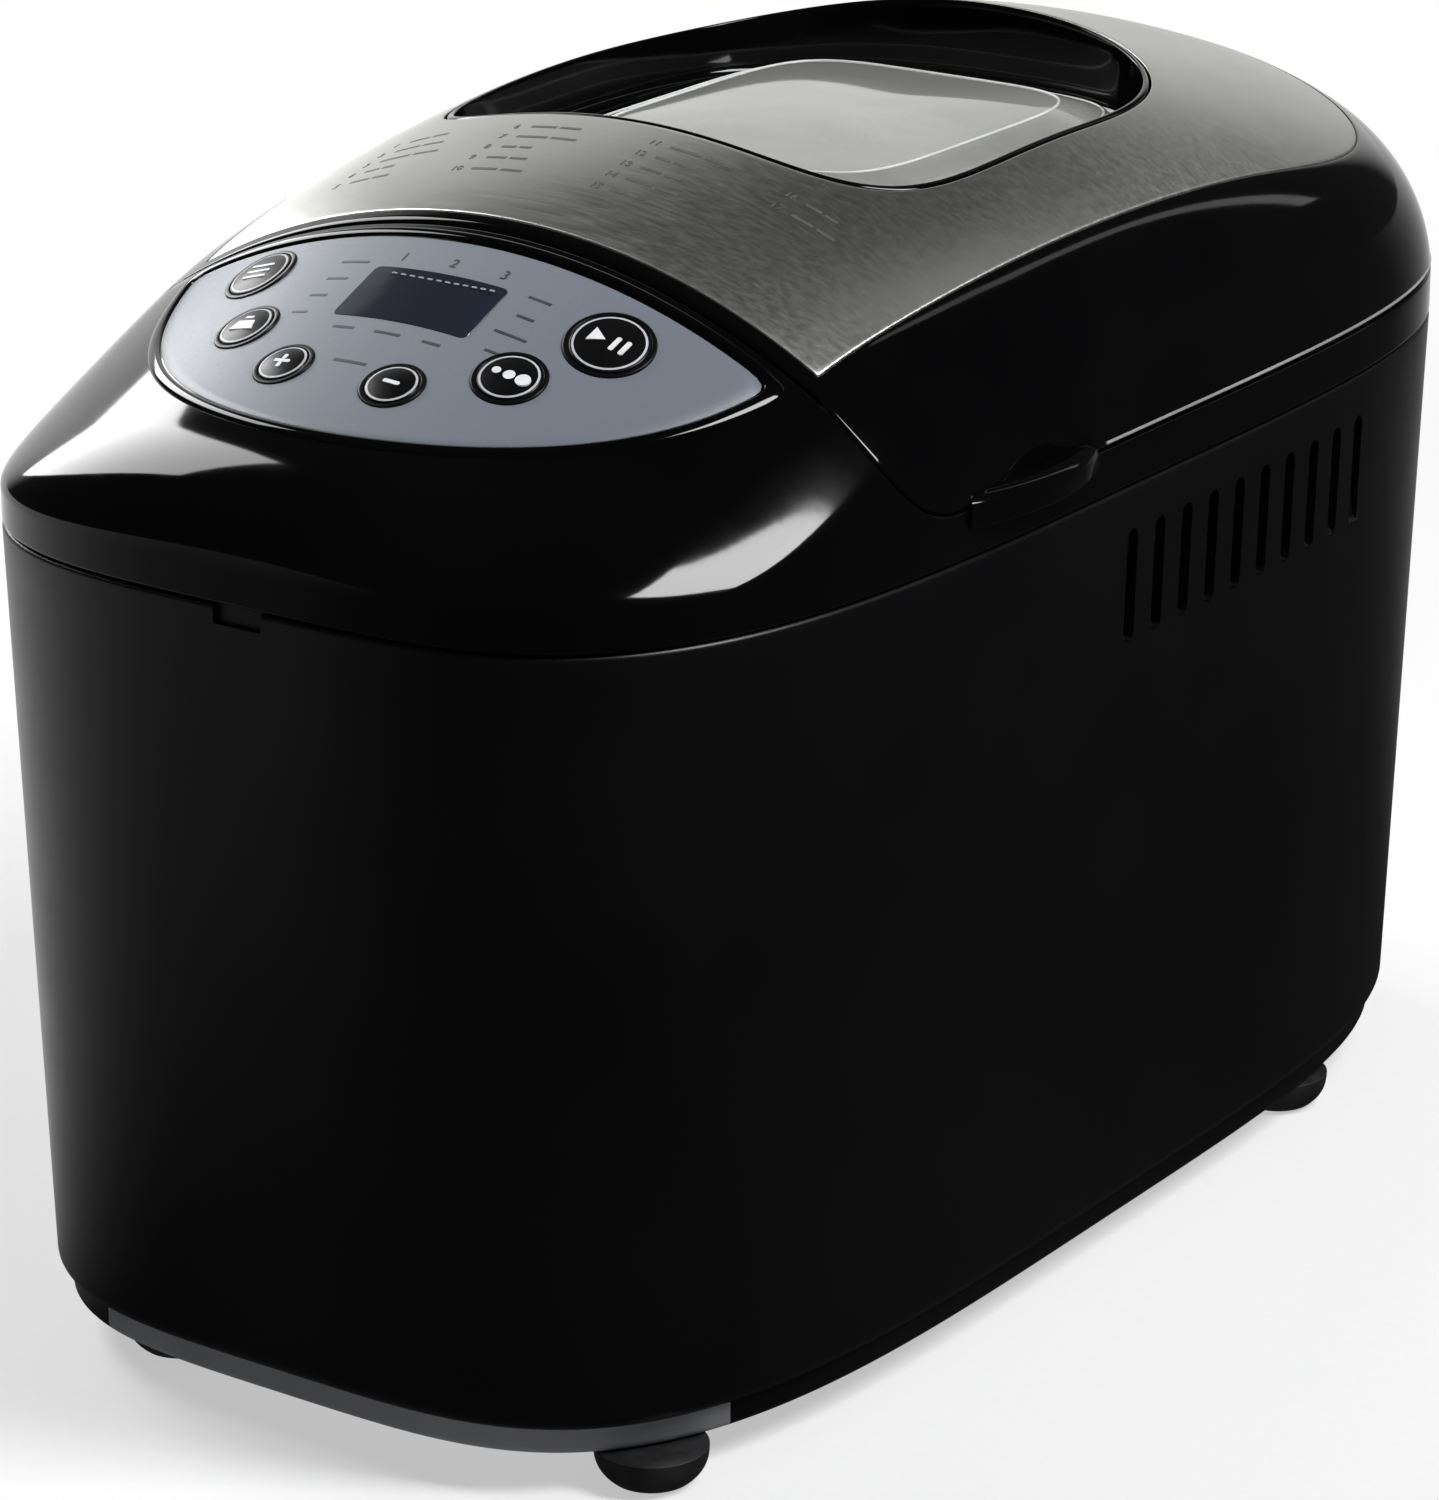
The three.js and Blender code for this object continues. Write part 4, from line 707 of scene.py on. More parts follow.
# inner side of a skin, from its last loop back to its first
def innerRows(first, last, rowCount, depth):
    rows = []
    for t in np.linspace(1, 0, rowCount):
        place, level = first[0] + (last[0] - first[0]) * t, first[1] + (last[1] - first[1]) * t
        normal = upperNormal(np.clip(place, 0.0005, 0.9995), level)
        rows.append(upperPoint(place, level) - depth * normal)
    return rows


# radius along the parting: broad over the top, finer down the sides
def partingRoll(broad, fine):
    index = np.arange(loopSteps + 1)
    share = np.clip((index - loopParts[0] + 14) / 22, 0, 1)
    share = share * share * (3 - 2 * share)
    return broad + (fine - broad) * share


# closed piece from rows that give its right half
def halvesPiece(name, halves, *fitting, ends="joined"):
    return rowPiece(name, [fullRing(half) for half in halves], *fitting, ends=ends, smooth=50)


holeLoop = topPlace(coverHalf(0))
holeLoop = (holeLoop[0], np.minimum(holeLoop[1], 1.0))
holeLoop[0][-1] = 1
lidLoop = partingLoop(0)
lidRoll = partingRoll(lid["frontRoll"], lid["edgeRoll"])
lidRows = skinRows(holeLoop, lidLoop, 34, lid["holeRoll"], lidRoll, lid["wall"],
                   lid["wall"] + lidRoll - lid["edgeRoll"])
lidRows += innerRows(holeLoop, lidLoop, 9, lid["wall"])[1:-1]
lidSkin = halvesPiece("lidSkin", lidRows, glossBlack, "lid", "lid_shell", "gloss_black")

# shallow finger scoop over each lip
scoop = {"y": -54, "z": 228, "size": (6, 31, 12), "deep": 2.1}


def scoopCutter(side):
    x = side * (casing["halfWidth"] + scoop["size"][0] - scoop["deep"])
    place = Matrix.Translation((x, scoop["y"], scoop["z"])) @ Matrix.Diagonal((*scoop["size"], 1))
    ball = [(math.cos(a), math.sin(a)) for a in np.linspace(-math.pi / 2, math.pi / 2, 33)]
    return turnedPiece("cutter", ball, place=place, steps=72)


carve(lidSkin, [scoopCutter(-1), scoopCutter(1)], 50)


def onTop(points, drop):
    return np.column_stack([points, topHeight(points[:, 0], points[:, 1]) - drop])


# cover sheet, from its outer edge over the top to the well and back underneath
def plateRows():
    outer, inner, thick, bevel = coverHalf(-gap), wellHalf(-cover["lap"]), cover["thick"], cover["bevel"]
    width = np.linalg.norm(inner - outer, axis=1)[:, None]
    at = lambda share, drop: onTop(outer + (inner - outer) * share, drop)
    rows = [at(0, thick)]
    rows += [at(inward / width, bevel - height) for inward, height in quarter(bevel, 4)]
    rows += [at(share, 0) for share in np.linspace(0.03, 0.97, 30)]
    rows += [at(1 - inward / width, bevel - height) for inward, height in quarter(bevel, 4)[::-1]]
    return rows + [at(share, thick) for share in (1, 0.75, 0.5, 0.25)]


# stainless sheet, brushed across the machine and lacquered: warm grey with faint streaks
def brushedSheet():
    material, tree, shader, place = startMaterial("brushedStainless", {
        "Metallic": 1.0, "Anisotropic": 0.45, "Anisotropic Rotation": 0.0,
    })
    stretched = addNode(tree, "ShaderNodeMapping", {"Vector": place, "Scale": (0.02, 1, 1)})
    streaks = addNode(tree, "ShaderNodeTexNoise", {
        "Vector": stretched, "Scale": scaleFor(1.2), "Detail": 4, "Roughness": 0.6,
    })
    clouds = addNode(tree, "ShaderNodeTexNoise", {"Vector": place, "Scale": scaleFor(60), "Detail": 3})
    blend = addNode(tree, "ShaderNodeMix", {"Factor": 0.35, 2: clouds, 3: streaks}, data_type="FLOAT")
    dress(tree, shader, blend, [(0.35, "#b3b3af"), (0.65, "#c5c5c1")], streaks, (0.3, 0.38), streaks, 0.003)
    return material


halvesPiece("coverPlate", plateRows(), brushedSheet(), "lid", "lid_cover", "brushed_steel")

window = {
    "halfWidth": 57,
    "middle": 32,
    "halfLength": 67,
    "power": 5,
    "thick": 5,
    "dome": 5,
    "border": 10,  # sloping border round the flatter middle
    "borderRise": 3.4,
    "footBevel": 0.6,
    "edgeRound": 1.2,
    "edgeDrop": 1.6,  # from the glass's nominal top down to its rounded edge
    "ledge": 5,
    "rimWidth": 1.6,
    "rimSink": 0.1,
    "fillet": 3,
    "slope": 3,  # how far the well narrows towards its fillet
}
glassLow = cover["wellFloor"] + gap
glassEdgeTop = glassLow + window["thick"] - window["edgeDrop"]


def glassToward(inset, points):
    w = window
    half = w["halfLength"] - inset
    return towards(w["halfWidth"] - inset, w["middle"], half, w["power"], half, w["power"], points)


# well round the window: rolled rim, sloping wall, fillet and the ledge that the glass sits on
def wellRows():
    w, floor, edge = window, cover["wellFloor"], window["rimWidth"] / 2
    rim = lambda inset, height: onTop(wellHalf(gap + inset), edge - height + w["rimSink"])
    seat = glassToward(w["ledge"], coverHalf(0))
    rows = [atHeight(seat, floor - 3), atHeight(wellHalf(gap), floor - 3)]
    rows += [rim(inward, height) for inward, height in quarter(edge, 4)]
    rows += [rim(2 * edge - inward, height) for inward, height in quarter(edge, 4)[-2::-1]]
    top, foot = rim(2 * edge, 0), atHeight(wellHalf(gap + w["slope"]), floor + w["fillet"])
    rows += [top + (foot - top) * share for share in np.linspace(0.08, 1, 9)]
    rows += [atHeight(wellHalf(gap + w["slope"] + inward), floor + height)
             for inward, height in footQuarter(w["fillet"])[-2::-1]]
    last, end = rows[-1], atHeight(seat, floor)
    return rows + [last + (end - last) * share for share in (0.35, 0.7, 1)]


halvesPiece("windowSurround", wellRows(), glossBlack, "lid", "window_surround", "gloss_black")


# toughened glass, half clear, with a painted reflection: the pale base colour and its hazy streaks stand for a
# milky film of light on the pane; the bright ground edges are drawn as separate lines
def windowGlass():
    material, tree, shader, place = startMaterial("toughenedGlass", {
        "IOR": 1.5, "Transmission Weight": 0.5, "Roughness": 0.06,
    })
    stretched = addNode(tree, "ShaderNodeMapping", {"Vector": place, "Scale": (0.5, 1, 1)})
    paintedReflection = addNode(tree, "ShaderNodeTexNoise", {
        "Vector": stretched, "Scale": scaleFor(45), "Detail": 4, "Roughness": 0.55,
    })
    # painted reflection: pale milky grey in hazy streaks
    dress(tree, shader, paintedReflection, [(0.3, "#a4a5a1"), (0.7, "#c0c1bd")])
    return material


clearGlass = windowGlass()


# pane: bevelled foot, rounded edge, a border that slopes up to a ridge and a slightly domed middle
def glassRows():
    w, low, bevel, edge, side = window, glassLow, window["footBevel"], window["edgeRound"], glassEdgeTop
    half = halfOutline(w["halfWidth"], w["middle"], w["halfLength"], w["power"], count=90)
    row = lambda inset, height: atHeight(glassToward(inset, half), height)
    rows = [atHeight(half * [0.001, 0] + [0, w["middle"]], low)]
    rows += [row(bevel + extra, low) for extra in (20, 0.3, 0)]
    rows += [row(bevel - i, low + bevel - h) for i, h in ((0.25, 0.45), (0.45, 0.25), (0.6, 0))]
    rows += [row(inward, side - edge + height) for inward, height in quarter(edge, 6)]
    rows += [row(edge + w["border"] * share, side + w["borderRise"] * min(share, 1))
             for share in (0.25, 0.5, 0.75, 0.96, 1.02)]
    start, centre = glassToward(edge + 0.2 + w["border"], half), half * 0 + [0, w["middle"]]
    ridge = side + w["borderRise"] + 0.1
    crest = low + w["thick"] + w["dome"] - ridge
    rows += [atHeight(start + (centre - start) * share, ridge + crest * (1 - (1 - share) ** 2))
             for share in (*np.linspace(0.03, 0.97, 20), 0.999)]
    return rows


halvesPiece("windowGlass", glassRows(), clearGlass, "lid", "window_glass", "clear_glass", ends="filled")


# lens-shaped finger lip on each side of the lid
def lipRing(side, height, inset):
    reach, length = lid["lipReach"], lid["lipLength"]
    radius = (length ** 2 / 4 + reach ** 2) / (2 * reach)
    y = np.linspace(-length / 2 + inset, length / 2 - inset, 49)
    out = np.sqrt(radius ** 2 - y ** 2) - (radius - reach) - inset
    endSunk, rootSunk = lid["lipSunk"]
    across = np.concatenate([np.maximum(out, -endSunk), np.full(len(y), -rootSunk)]) + casing["halfWidth"]
    along = np.concatenate([y, y[::-1]]) + lid["lipMiddle"]
    return np.column_stack([side * across, along, np.full(len(along), height)])


for sideName, side in (("Left", -1), ("Right", 1)):
    low, high = lid["edge"] - lid["lipDrop"], lid["edge"] + lid["lipRise"]
    under, over = lid["lipRound"]
    rings = [lipRing(side, low + height, inward) for inward, height in footQuarter(under, 4)]
    rings += [lipRing(side, high - over + height, inward) for inward, height in quarter(over, 12)]
    rowPiece("lidLip" + sideName, rings, glossBlack, "lid", (), "gloss_black", smooth=40)

# where helper solids end, outside the machine
beyond = {"side": 200, "rear": 300, "low": 150, "high": 400, "top": 340}


# side outline of everything behind the parting, rounded at its lower front corner
def behindParting(offset, radius, low, steps=24):
    centreY, centreZ = lid["partingY"] + radius, lid["edge"] + radius
    reach = radius + offset
    points = [(beyond["rear"], beyond["top"]), (lid["partingY"] - offset, beyond["top"])]
    for a in math.pi * (1 + 0.5 * np.linspace(0, 1, steps + 1)):
        points.append((centreY + reach * math.cos(a), centreZ + reach * math.sin(a)))
    if low < lid["edge"] - offset:
        points.append((centreY, low))
    points.append((beyond["rear"], min(low, lid["edge"] - offset)))
    return points


# closed body of the upper casing, inset from its surface, down to a height
def casingCore(inset, bottom, count=150):
    half = np.linspace(0, 1, count + 1)
    rows = []
    for level in (*np.linspace(0.04, 1, 16), *np.linspace(1.06, 2, 16)):
        levels = np.full(len(half), level)
        normal = upperNormal(np.clip(half, 0.0005, 0.9995), levels)
        rows.append(fullRing(upperPoint(half, levels) - inset * normal))
    rows.append(atHeight(rows[-1], bottom))
    return rowPiece("core", rows, glossBlack)


# room that the lid takes, grown by an offset: wide at the sides, and with its own front corner inside them
def lidSpace(offset, low=1000):
    inner = lid["innerX"] + offset
    wide = crossPrism(behindParting(offset, lid["cornerRadius"], low), -beyond["side"], beyond["side"])
    combine(wide, crossPrism(behindParting(offset, lid["innerRadius"], low), -inner, inner), "UNION")
    return wide


def keepBetween(core, frontY, rearY):
    combine(core, box(-beyond["side"], beyond["side"], frontY, rearY, beyond["low"], beyond["high"]), "INTERSECT")


def fitCore(core, name, body):
    core.name = core.data.name = name
    softenFaces(core)
    fitPiece(core, body)


# front end wall of the lid, under its skin
lidFront = casingCore(1.4, lid["edge"] - 10)
combine(lidFront, lidSpace(-0.02), "INTERSECT")
hollow = casingCore(lid["wall"] + 2.2, lid["edge"] - 30)
combine(hollow, lidSpace(-lid["wall"], lid["edge"] - 20), "INTERSECT")
combine(lidFront, hollow)
keepBetween(lidFront, -140, -80)
fitCore(lidFront, "lidFrontWall", "lid")
print("lid built")

hood = {
    "wall": 2.6,
    "seamRoll": 1.1,
    "partingRoll": 0.7,
}
hoodLoop = partingLoop(gap)
loopCorners = np.cumsum((0, *loopParts))
startPlace, endPlace = hoodLoop[0][loopCorners[1]], hoodLoop[0][loopCorners[3]]
seamPlace = np.interp(np.arange(loopSteps + 1), loopCorners,
                      [0, startPlace - 0.03, startPlace - 0.015, endPlace + 0.01, 1])
seamLoop = (seamPlace, np.full(loopSteps + 1, 3.0))
hoodRows = skinRows(hoodLoop, seamLoop, 72, hood["partingRoll"], hood["seamRoll"], hood["wall"], hood["wall"])
hoodRows += innerRows(hoodLoop, seamLoop, 9, hood["wall"])[1:-1]
hoodSkin = halvesPiece("hoodSkin", hoodRows, glossBlack, "base", "control_hood", "gloss_black")

chamber = {
    "halfWidth": 76,
    "front": -100,
    "rear": 168,
    "corner": 20,
    "wall": 1.2,
    "flange": 10,
    "floor": 62,
    "press": 6,
}
hinge = {"y": 204, "z": 230, "slot": 77, "groove": 12.6, "skirt": 3}


# the hood is free of the lid's rear edge as it swings; a short skirt on the lid closes that groove
def hingeRod(radius, half):
    turns = np.linspace(0, 2 * math.pi, 64, endpoint=False)
    ring = [(hinge["y"] + radius * math.cos(a), hinge["z"] + radius * math.sin(a)) for a in turns]
    return crossPrism(ring, -half, half)


carve(hoodSkin, [hingeRod(hinge["groove"], hinge["slot"])], 50)
lidSkirt = casingCore(0.12, lid["edge"] - 10)
combine(lidSkirt, casingCore(lid["wall"], lid["edge"] - 20))
combine(lidSkirt, box(1 - hinge["slot"], hinge["slot"] - 1, hinge["y"] - 20, casing["halfDepth"] + 5,
                      lid["edge"] - hinge["skirt"], lid["edge"] + 1), "INTERSECT")
combine(lidSkirt, hingeRod(hinge["groove"] - 2 * gap, 100), "INTERSECT")
fitCore(lidSkirt, "lidSkirt", "lid")


def chamberPlan(grow, steps=10):
    c = chamber
    return rounded(-c["halfWidth"] - grow, c["halfWidth"] + grow, c["front"] - grow, c["rear"] + grow,
                   c["corner"] + grow, steps)


# deck that the lid closes on, with the parting wall in front of it
hoodDeck = casingCore(1.2, casing["seam"] + 2)
combine(hoodDeck, lidSpace(gap))
hollow = casingCore(hood["wall"] + 1.2, casing["seam"] - 20)
combine(hollow, lidSpace(gap + hood["wall"]))
combine(hoodDeck, hollow)
combine(hoodDeck, uprightPrism(chamberPlan(1.5, 8), casing["seam"] - 5, lid["edge"] + 5))
combine(hoodDeck, hingeRod(hinge["groove"], hinge["slot"]))
keepBetween(hoodDeck, -125, beyond["rear"])
fitCore(hoodDeck, "hoodDeck", "base")
print("hood built")

panel = {
    "top": -122,  # chord of the film, in Y
    "halfChord": 86,
    "depth": 67.3,
    "filmRise": 0.12,
    "filmThick": 0.6,
    "beadGap": 0.35,
    "beadWidth": 3.1,
    "beadRise": 1.0,
    "beadFoot": 0.25,  # how far under the top its visible edges lie
    "beadRoot": 0.9,
}
panel["radius"] = (panel["halfChord"] ** 2 + panel["depth"] ** 2) / (2 * panel["depth"])
panel["centre"] = panel["top"] - panel["depth"] + panel["radius"]


# plan of the film: a bowed lower edge and a straight upper one, offset outwards, with softened tips
def panelPlan(offset):
    radius = panel["radius"] + offset
    half = math.asin(min(1, (panel["centre"] - panel["top"] - offset) / radius))
    angles = np.linspace(math.pi + half, 2 * math.pi - half, 110)
    arc = np.column_stack([radius * np.cos(angles), panel["centre"] + radius * np.sin(angles)])
    loop = np.vstack([arc, evenly([arc[-1], arc[0]], 60)[1:-1]])
    for _ in range(3):
        loop = (np.roll(loop, 1, 0) + 2 * loop + np.roll(loop, -1, 0)) / 4
    return loop


# printed polycarbonate film, fine matt: pale blue grey, with painted light that makes it lighter on the left and
# darker on the right
def printedFilm():
    material, tree, shader, place = startMaterial("mattPolycarbonateFilm", {
        "IOR": 1.36, "Coat Weight": 0.06, "Coat Roughness": 0.3,
    })
    grain = addNode(tree, "ShaderNodeTexNoise", {
        "Vector": place, "Scale": scaleFor(0.9), "Detail": 3, "Roughness": 0.6,
    })
    # painted light: the colour runs from lighter on the left to darker on the right across the film
    across = addNode(tree, "ShaderNodeSeparateXYZ", {"Vector": place}).outputs["X"]
    side = addNode(tree, "ShaderNodeMapRange", {"Value": across, "From Min": -0.09, "From Max": 0.09})
    blend = addNode(tree, "ShaderNodeMix", {"Factor": 0.2, 2: side, 3: grain}, data_type="FLOAT")
    dress(tree, shader, blend, [(0.1, "#8b9099"), (0.9, "#6a707a")], grain, (0.36, 0.46), grain, 0.006)
    return material


# flat sheet with an outline in plan, draped on the top: triangulated finely enough to follow it
def drapedSheet(name, outline, rise, thick, *fitting, rings=14, bevel=0.1):
    centre = outline.mean(0)
    inward = lambda share: outline + (centre - outline) * share
    shares = np.linspace(0.05, 1, rings)[:-1]
    rows = [onTop(inward(share), thick - rise) for share in shares[::-1]]
    rows += [onTop(outline, thick - rise), onTop(outline, bevel - rise)]
    rows.append(onTop(inward(bevel / np.linalg.norm(outline - centre, axis=1)[:, None]), -rise))
    rows += [onTop(inward(share), -rise) for share in shares]
    points = np.vstack(rows + [onTop(centre[None], -rise), onTop(centre[None], thick - rise)])
    count, last = len(outline), (len(rows) - 1) * len(outline)
    faces = rowFaces(len(rows), count)
    for start, tip in ((last, len(points) - 2), (0, len(points) - 1)):
        faces += [(start + i, start + (i + 1) % count, tip) for i in range(count)]
    return makePiece(name, points, faces, *fitting, smooth=30)


filmSheet = drapedSheet("panelFilm", panelPlan(0), panel["filmRise"], panel["filmThick"], printedFilm(), "base",
                        "control_overlay", "panel_film")


# rounded bead moulded round the film
def panelBead():
    near, width, foot = panel["beadGap"], panel["beadWidth"], panel["beadFoot"]
    rows = [onTop(panelPlan(near + width * (1 - math.cos(a)) / 2),
                  foot - (panel["beadRise"] + foot) * math.sin(a) ** 0.8) for a in np.linspace(0, math.pi, 11)]
    rows += [onTop(panelPlan(outward), panel["beadRoot"]) for outward in (near + width, near)]
    rowPiece("panelBead", rows, glossBlack, "base", (), "gloss_black", ends="joined", smooth=60)


panelBead()

buttons = {  # X and Y of each button's middle, and its radius
    "menu": (-55.9, -133.4, 9.9),
    "weight": (-42.1, -156, 8.7),
    "plus": (-19.6, -170.1, 7.8),
    "minus": (13.2, -170.8, 8.1),
    "colour": (37.2, -157.4, 9.2),
    "start": (51, -136.8, 11.1),
}
button = {  # heights are from the top of the casing at the button's middle
    "ring": 1.1,
    "ringPlay": 0.12,
    "ringFoot": -1.2,
    "ringTop": 0.5,
    "ringRound": (0.35, 0.25),  # outer and inner edge
    "holeStep": -1.3,
    "hole": (-9, 6),
    "stemFoot": -7.9,
    "stemRadius": 3,
    "capFoot": -5.7,
    "shoulder": 0.7,
    "shoulderRound": 0.6,
    "proud": 1.4,
    "silverAt": 0.9,  # share of the cap's radius where the thin silver line runs
    "silverWidth": 0.55,
}


def panelFrame(x, y):
    lean = x / math.sqrt(crown["sideRadius"] ** 2 - x ** 2)
    normal = Vector((lean, -crown["slopeRise"], 1)).normalized()
    turn = Vector((0, 0, 1)).rotation_difference(normal)
    return Matrix.Translation((x, y, topHeight(x, y))) @ turn.to_matrix().to_4x4()


# stepped hole for a button: wide where its ring sits, narrower below
def buttonHole(wide, narrow, frameAt):
    step, (low, high) = button["holeStep"], button["hole"]
    profile = [(0, low), (narrow, low), (narrow, step), (wide, step), (wide, high), (0, high)]
    return turnedPiece("cutter", profile, place=frameAt, steps=96)


# painted marks on caps: off-white
whitePrint = mouldedMaterial("whitePadPrint", "#dcdee0", "#e8eaec", 0.4, 0.5, depth=0.002)
# dark grey screen print on the film
greyPrint = mouldedMaterial("greyScreenPrint", "#34373f", "#3d4149", 0.4, 0.5, depth=0.002)
# thin satin grey print on the steel
steelPrint = mouldedMaterial("greyPrintOnSteel", "#4b4a48", "#555452", 0.4, 0.5, depth=0.002)
# silver paint in the groove of each cap: even light grey line
silverPaint = mouldedMaterial("silverPaint", "#b4b7bc", "#c3c6cb", 0.4, 0.5, depth=0.001)
# caps moulded in satin black, so that their marks stay readable
capBlack = mouldedMaterial("satinBlackCap", "#060607", "#0a0a0b", 0.3, 0.36, cloud=8, grain=0.6, depth=0.003,
                           IOR=1.27)


def makeButton(name, x, y, radius):
    b, frameAt = button, panelFrame(x, y)
    turned = {"place": frameAt, "steps": 96}
    cap = radius - b["ring"] - gap
    for sheet in (hoodSkin, filmSheet):
        carve(sheet, [buttonHole(radius + 0.08, cap + gap, frameAt)], 50)
    inner, foot, top = cap + b["ringPlay"], b["ringFoot"], b["ringTop"]
    outerRound, innerRound = b["ringRound"]
    profile = [(inner, foot), (radius, foot), (radius, top - outerRound)]
    profile += [(radius - i, top - outerRound + h) for i, h in quarter(outerRound, 4)]
    profile += [(inner + i, top - innerRound + h) for i, h in quarter(innerRound, 4)[::-1]]
    turnedPiece("buttonBezel_" + name, profile, capBlack, "base", "button_ring_" + name, "silver_trim",
                ends="joined", **turned)
    foot, stem, low, side = b["stemFoot"], b["stemRadius"], b["capFoot"], b["shoulder"]
    shoulder, rise = cap - b["shoulderRound"], b["proud"] - side
    crownAt = lambda r: side + rise * (1 - (r / shoulder) ** 2)
    profile = [(0, foot), (stem - 0.4, foot), (stem, foot + 0.4), (stem, low), (cap - 0.3, low), (cap, low + 0.3)]
    profile += [(cap - i, side - b["shoulderRound"] + h) for i, h in quarter(b["shoulderRound"], 6)]
    profile += [(shoulder * share, crownAt(shoulder * share)) for share in np.linspace(0.97, 0, 18)]
    turnedPiece("buttonCap_" + name, profile, capBlack, "button_" + name, "button_" + name, "gloss_black",
                **turned)
    line, half = cap * b["silverAt"], b["silverWidth"] / 2
    silver = [(line + i, crownAt(line + i) + lift) for i, lift in (
        (-half, -0.3), (half, -0.3), (half, 0.05), (0, 0.1), (-half, 0.05))]
    turnedPiece("buttonLine_" + name, silver, silverPaint, "button_" + name, (), "silver_trim",
                ends="joined", **turned)


for name, place in buttons.items():
    makeButton(name, *place)


# thin printed patch in the plane of a button: each shape is a list of (x, y) points
def markOn(name, shapes, frameAt, low, high, *fitting):
    solids = [(shape, low, high) for shape in shapes]
    makePiece(name, *prisms(solids, lambda x, y, z: tuple(frameAt @ Vector((x, y, z)))), *fitting, smooth=20)


def bar(x, y, width, height):
    return rounded(x - width / 2, x + width / 2, y - height / 2, y + height / 2, min(width, height) * 0.35, 3)


def disc(x, y, radius):
    angles = np.linspace(0, 2 * math.pi, 40, endpoint=False)
    return np.column_stack([x + radius * np.cos(angles), y + radius * np.sin(angles)])


marks = {
    "menu": [bar(0, 2.3, 7.4, 0.9), bar(0, 0, 7.4, 0.9), bar(0, -2.3, 7.4, 0.9)],
    "weight": [[(-3.6, -2.2), (3.6, -2.2), (2.5, 1.2), (-2.5, 1.2)], bar(0, 2.5, 2.6, 0.9)],
    "plus": [bar(0, 0, 4.6, 1.1), bar(0, 1.5, 1.1, 1.8), bar(0, -1.5, 1.1, 1.8)],
    "minus": [bar(0, 0, 4.6, 1.2)],
    "colour": [disc(-3.6, 0, 1.1), disc(0, 0, 1.5), disc(3.9, 0, 1.9)],
    "start": [[(-5.2, -2.4), (-1.2, 0), (-5.2, 2.4)], bar(1.5, 0, 1.3, 4.8), bar(4.3, 0, 1.3, 4.8)],
}
for name, shapes in marks.items():
    markOn("buttonMark_" + name, shapes, panelFrame(*buttons[name][:2]), 0.9, button["proud"] + 0.06,
           whitePrint, "button_" + name, (), "silver_trim")

display = {
    "width": 40,
    "height": 18.4,
    "y": -142.5,
    "play": 0.2,
    "corner": 1.6,
    "rise": 0.28,
    "thick": 1.2,
    "dashes": {"count": 12, "from": -12.5, "to": 16.5, "belowTop": 2.2, "size": (1.5, 0.55)},
}


# liquid-crystal cell under a clear window: blue grey, with a painted reflection that makes its left end paler;
# darkest a little right of the middle
def displayCell():
    material, tree, shader, place = startMaterial("liquidCrystalCell", {
        "IOR": 1.4, "Roughness": 0.2, "Coat Weight": 0.3, "Coat Roughness": 0.12,
    })
    cloud = addNode(tree, "ShaderNodeTexNoise", {"Vector": place, "Scale": scaleFor(5), "Detail": 2})
    # painted reflection: the ramp runs from paler at the left end to dark across the cell
    x = addNode(tree, "ShaderNodeSeparateXYZ", {"Vector": place}).outputs["X"]
    half = display["width"] / 2 * millimetre
    across = addNode(tree, "ShaderNodeMapRange", {"Value": x, "From Min": -half, "From Max": half})
    blend = addNode(tree, "ShaderNodeMix", {"Factor": 0.08, 2: across, 3: cloud}, data_type="FLOAT")
    dress(tree, shader, blend, [
        (0.06, "#43464e"), (0.17, "#3a3d46"), (0.27, "#20242f"), (0.6, "#1d202d"), (1.0, "#232734"),
    ])
    return material


# segments that are switched off: pale grey
segmentGrey = mouldedMaterial("paleGreySegment", "#8b909b", "#969ba6", 0.4, 0.5, depth=0.001)


def makeDisplay():
    d, row = display, display["dashes"]
    w, h = d["width"] / 2 - d["play"], d["height"] / 2 - d["play"]
    corners = rounded(-w, w, d["y"] - h, d["y"] + h, d["corner"], 8)
    plan = evenly(np.vstack([corners, corners[:1]]), 140)[:-1]
    drapedSheet("displayWindow", plan, d["rise"], d["thick"], displayCell(), "base", "display_window",
                "display_dark", rings=8)
    dashes = [bar(x, d["height"] / 2 - row["belowTop"], *row["size"])
              for x in np.linspace(row["from"], row["to"], row["count"])]
    markOn("displayDashes", dashes, panelFrame(0, d["y"]), 0.2, 0.34, segmentGrey, "base", (), "display_dark")


makeDisplay()


# plain digits from Blender's own typeface, laid on the top at a plan position
def printedNumber(name, text, x, y, height, rise, material, body):
    curve = bpy.data.curves.new(name, "FONT")
    curve.body = text
    curve.size = height * millimetre
    curve.align_x, curve.align_y = "CENTER", "CENTER"
    curve.extrude = 0.05 * millimetre
    curve.resolution_u = 4
    source = linked(name, curve)
    mesh = bpy.data.meshes.new_from_object(source.evaluated_get(bpy.context.evaluated_depsgraph_get()))
    bpy.data.objects.remove(source)
    for vertex in mesh.vertices:
        px, py, pz = vertex.co / millimetre
        vertex.co = Vector((x + px, y + py, topHeight(x + px, y + py) + rise + pz)) * millimetre
    mesh.materials.append(material)
    fitPiece(linked(name, mesh), body)


# thin bars draped on the top, each given by its middle and its size
def printedBars(name, bars, rise, thick, *fitting, steps=6):
    points, faces = [], []
    for x, y, width, height in bars:
        start = len(points)
        corners = ((y - height / 2, -thick), (y + height / 2, -thick), (y + height / 2, 0), (y - height / 2, 0))
        for px in np.linspace(x - width / 2, x + width / 2, steps + 1):
            for py, z in corners:
                points.append((px, py, topHeight(px, py) + rise + z))
        faces += [tuple(start + k for k in face) for face in rowFaces(steps + 1, 4, "filled")]
    makePiece(name, points, faces, *fitting, smooth=20)


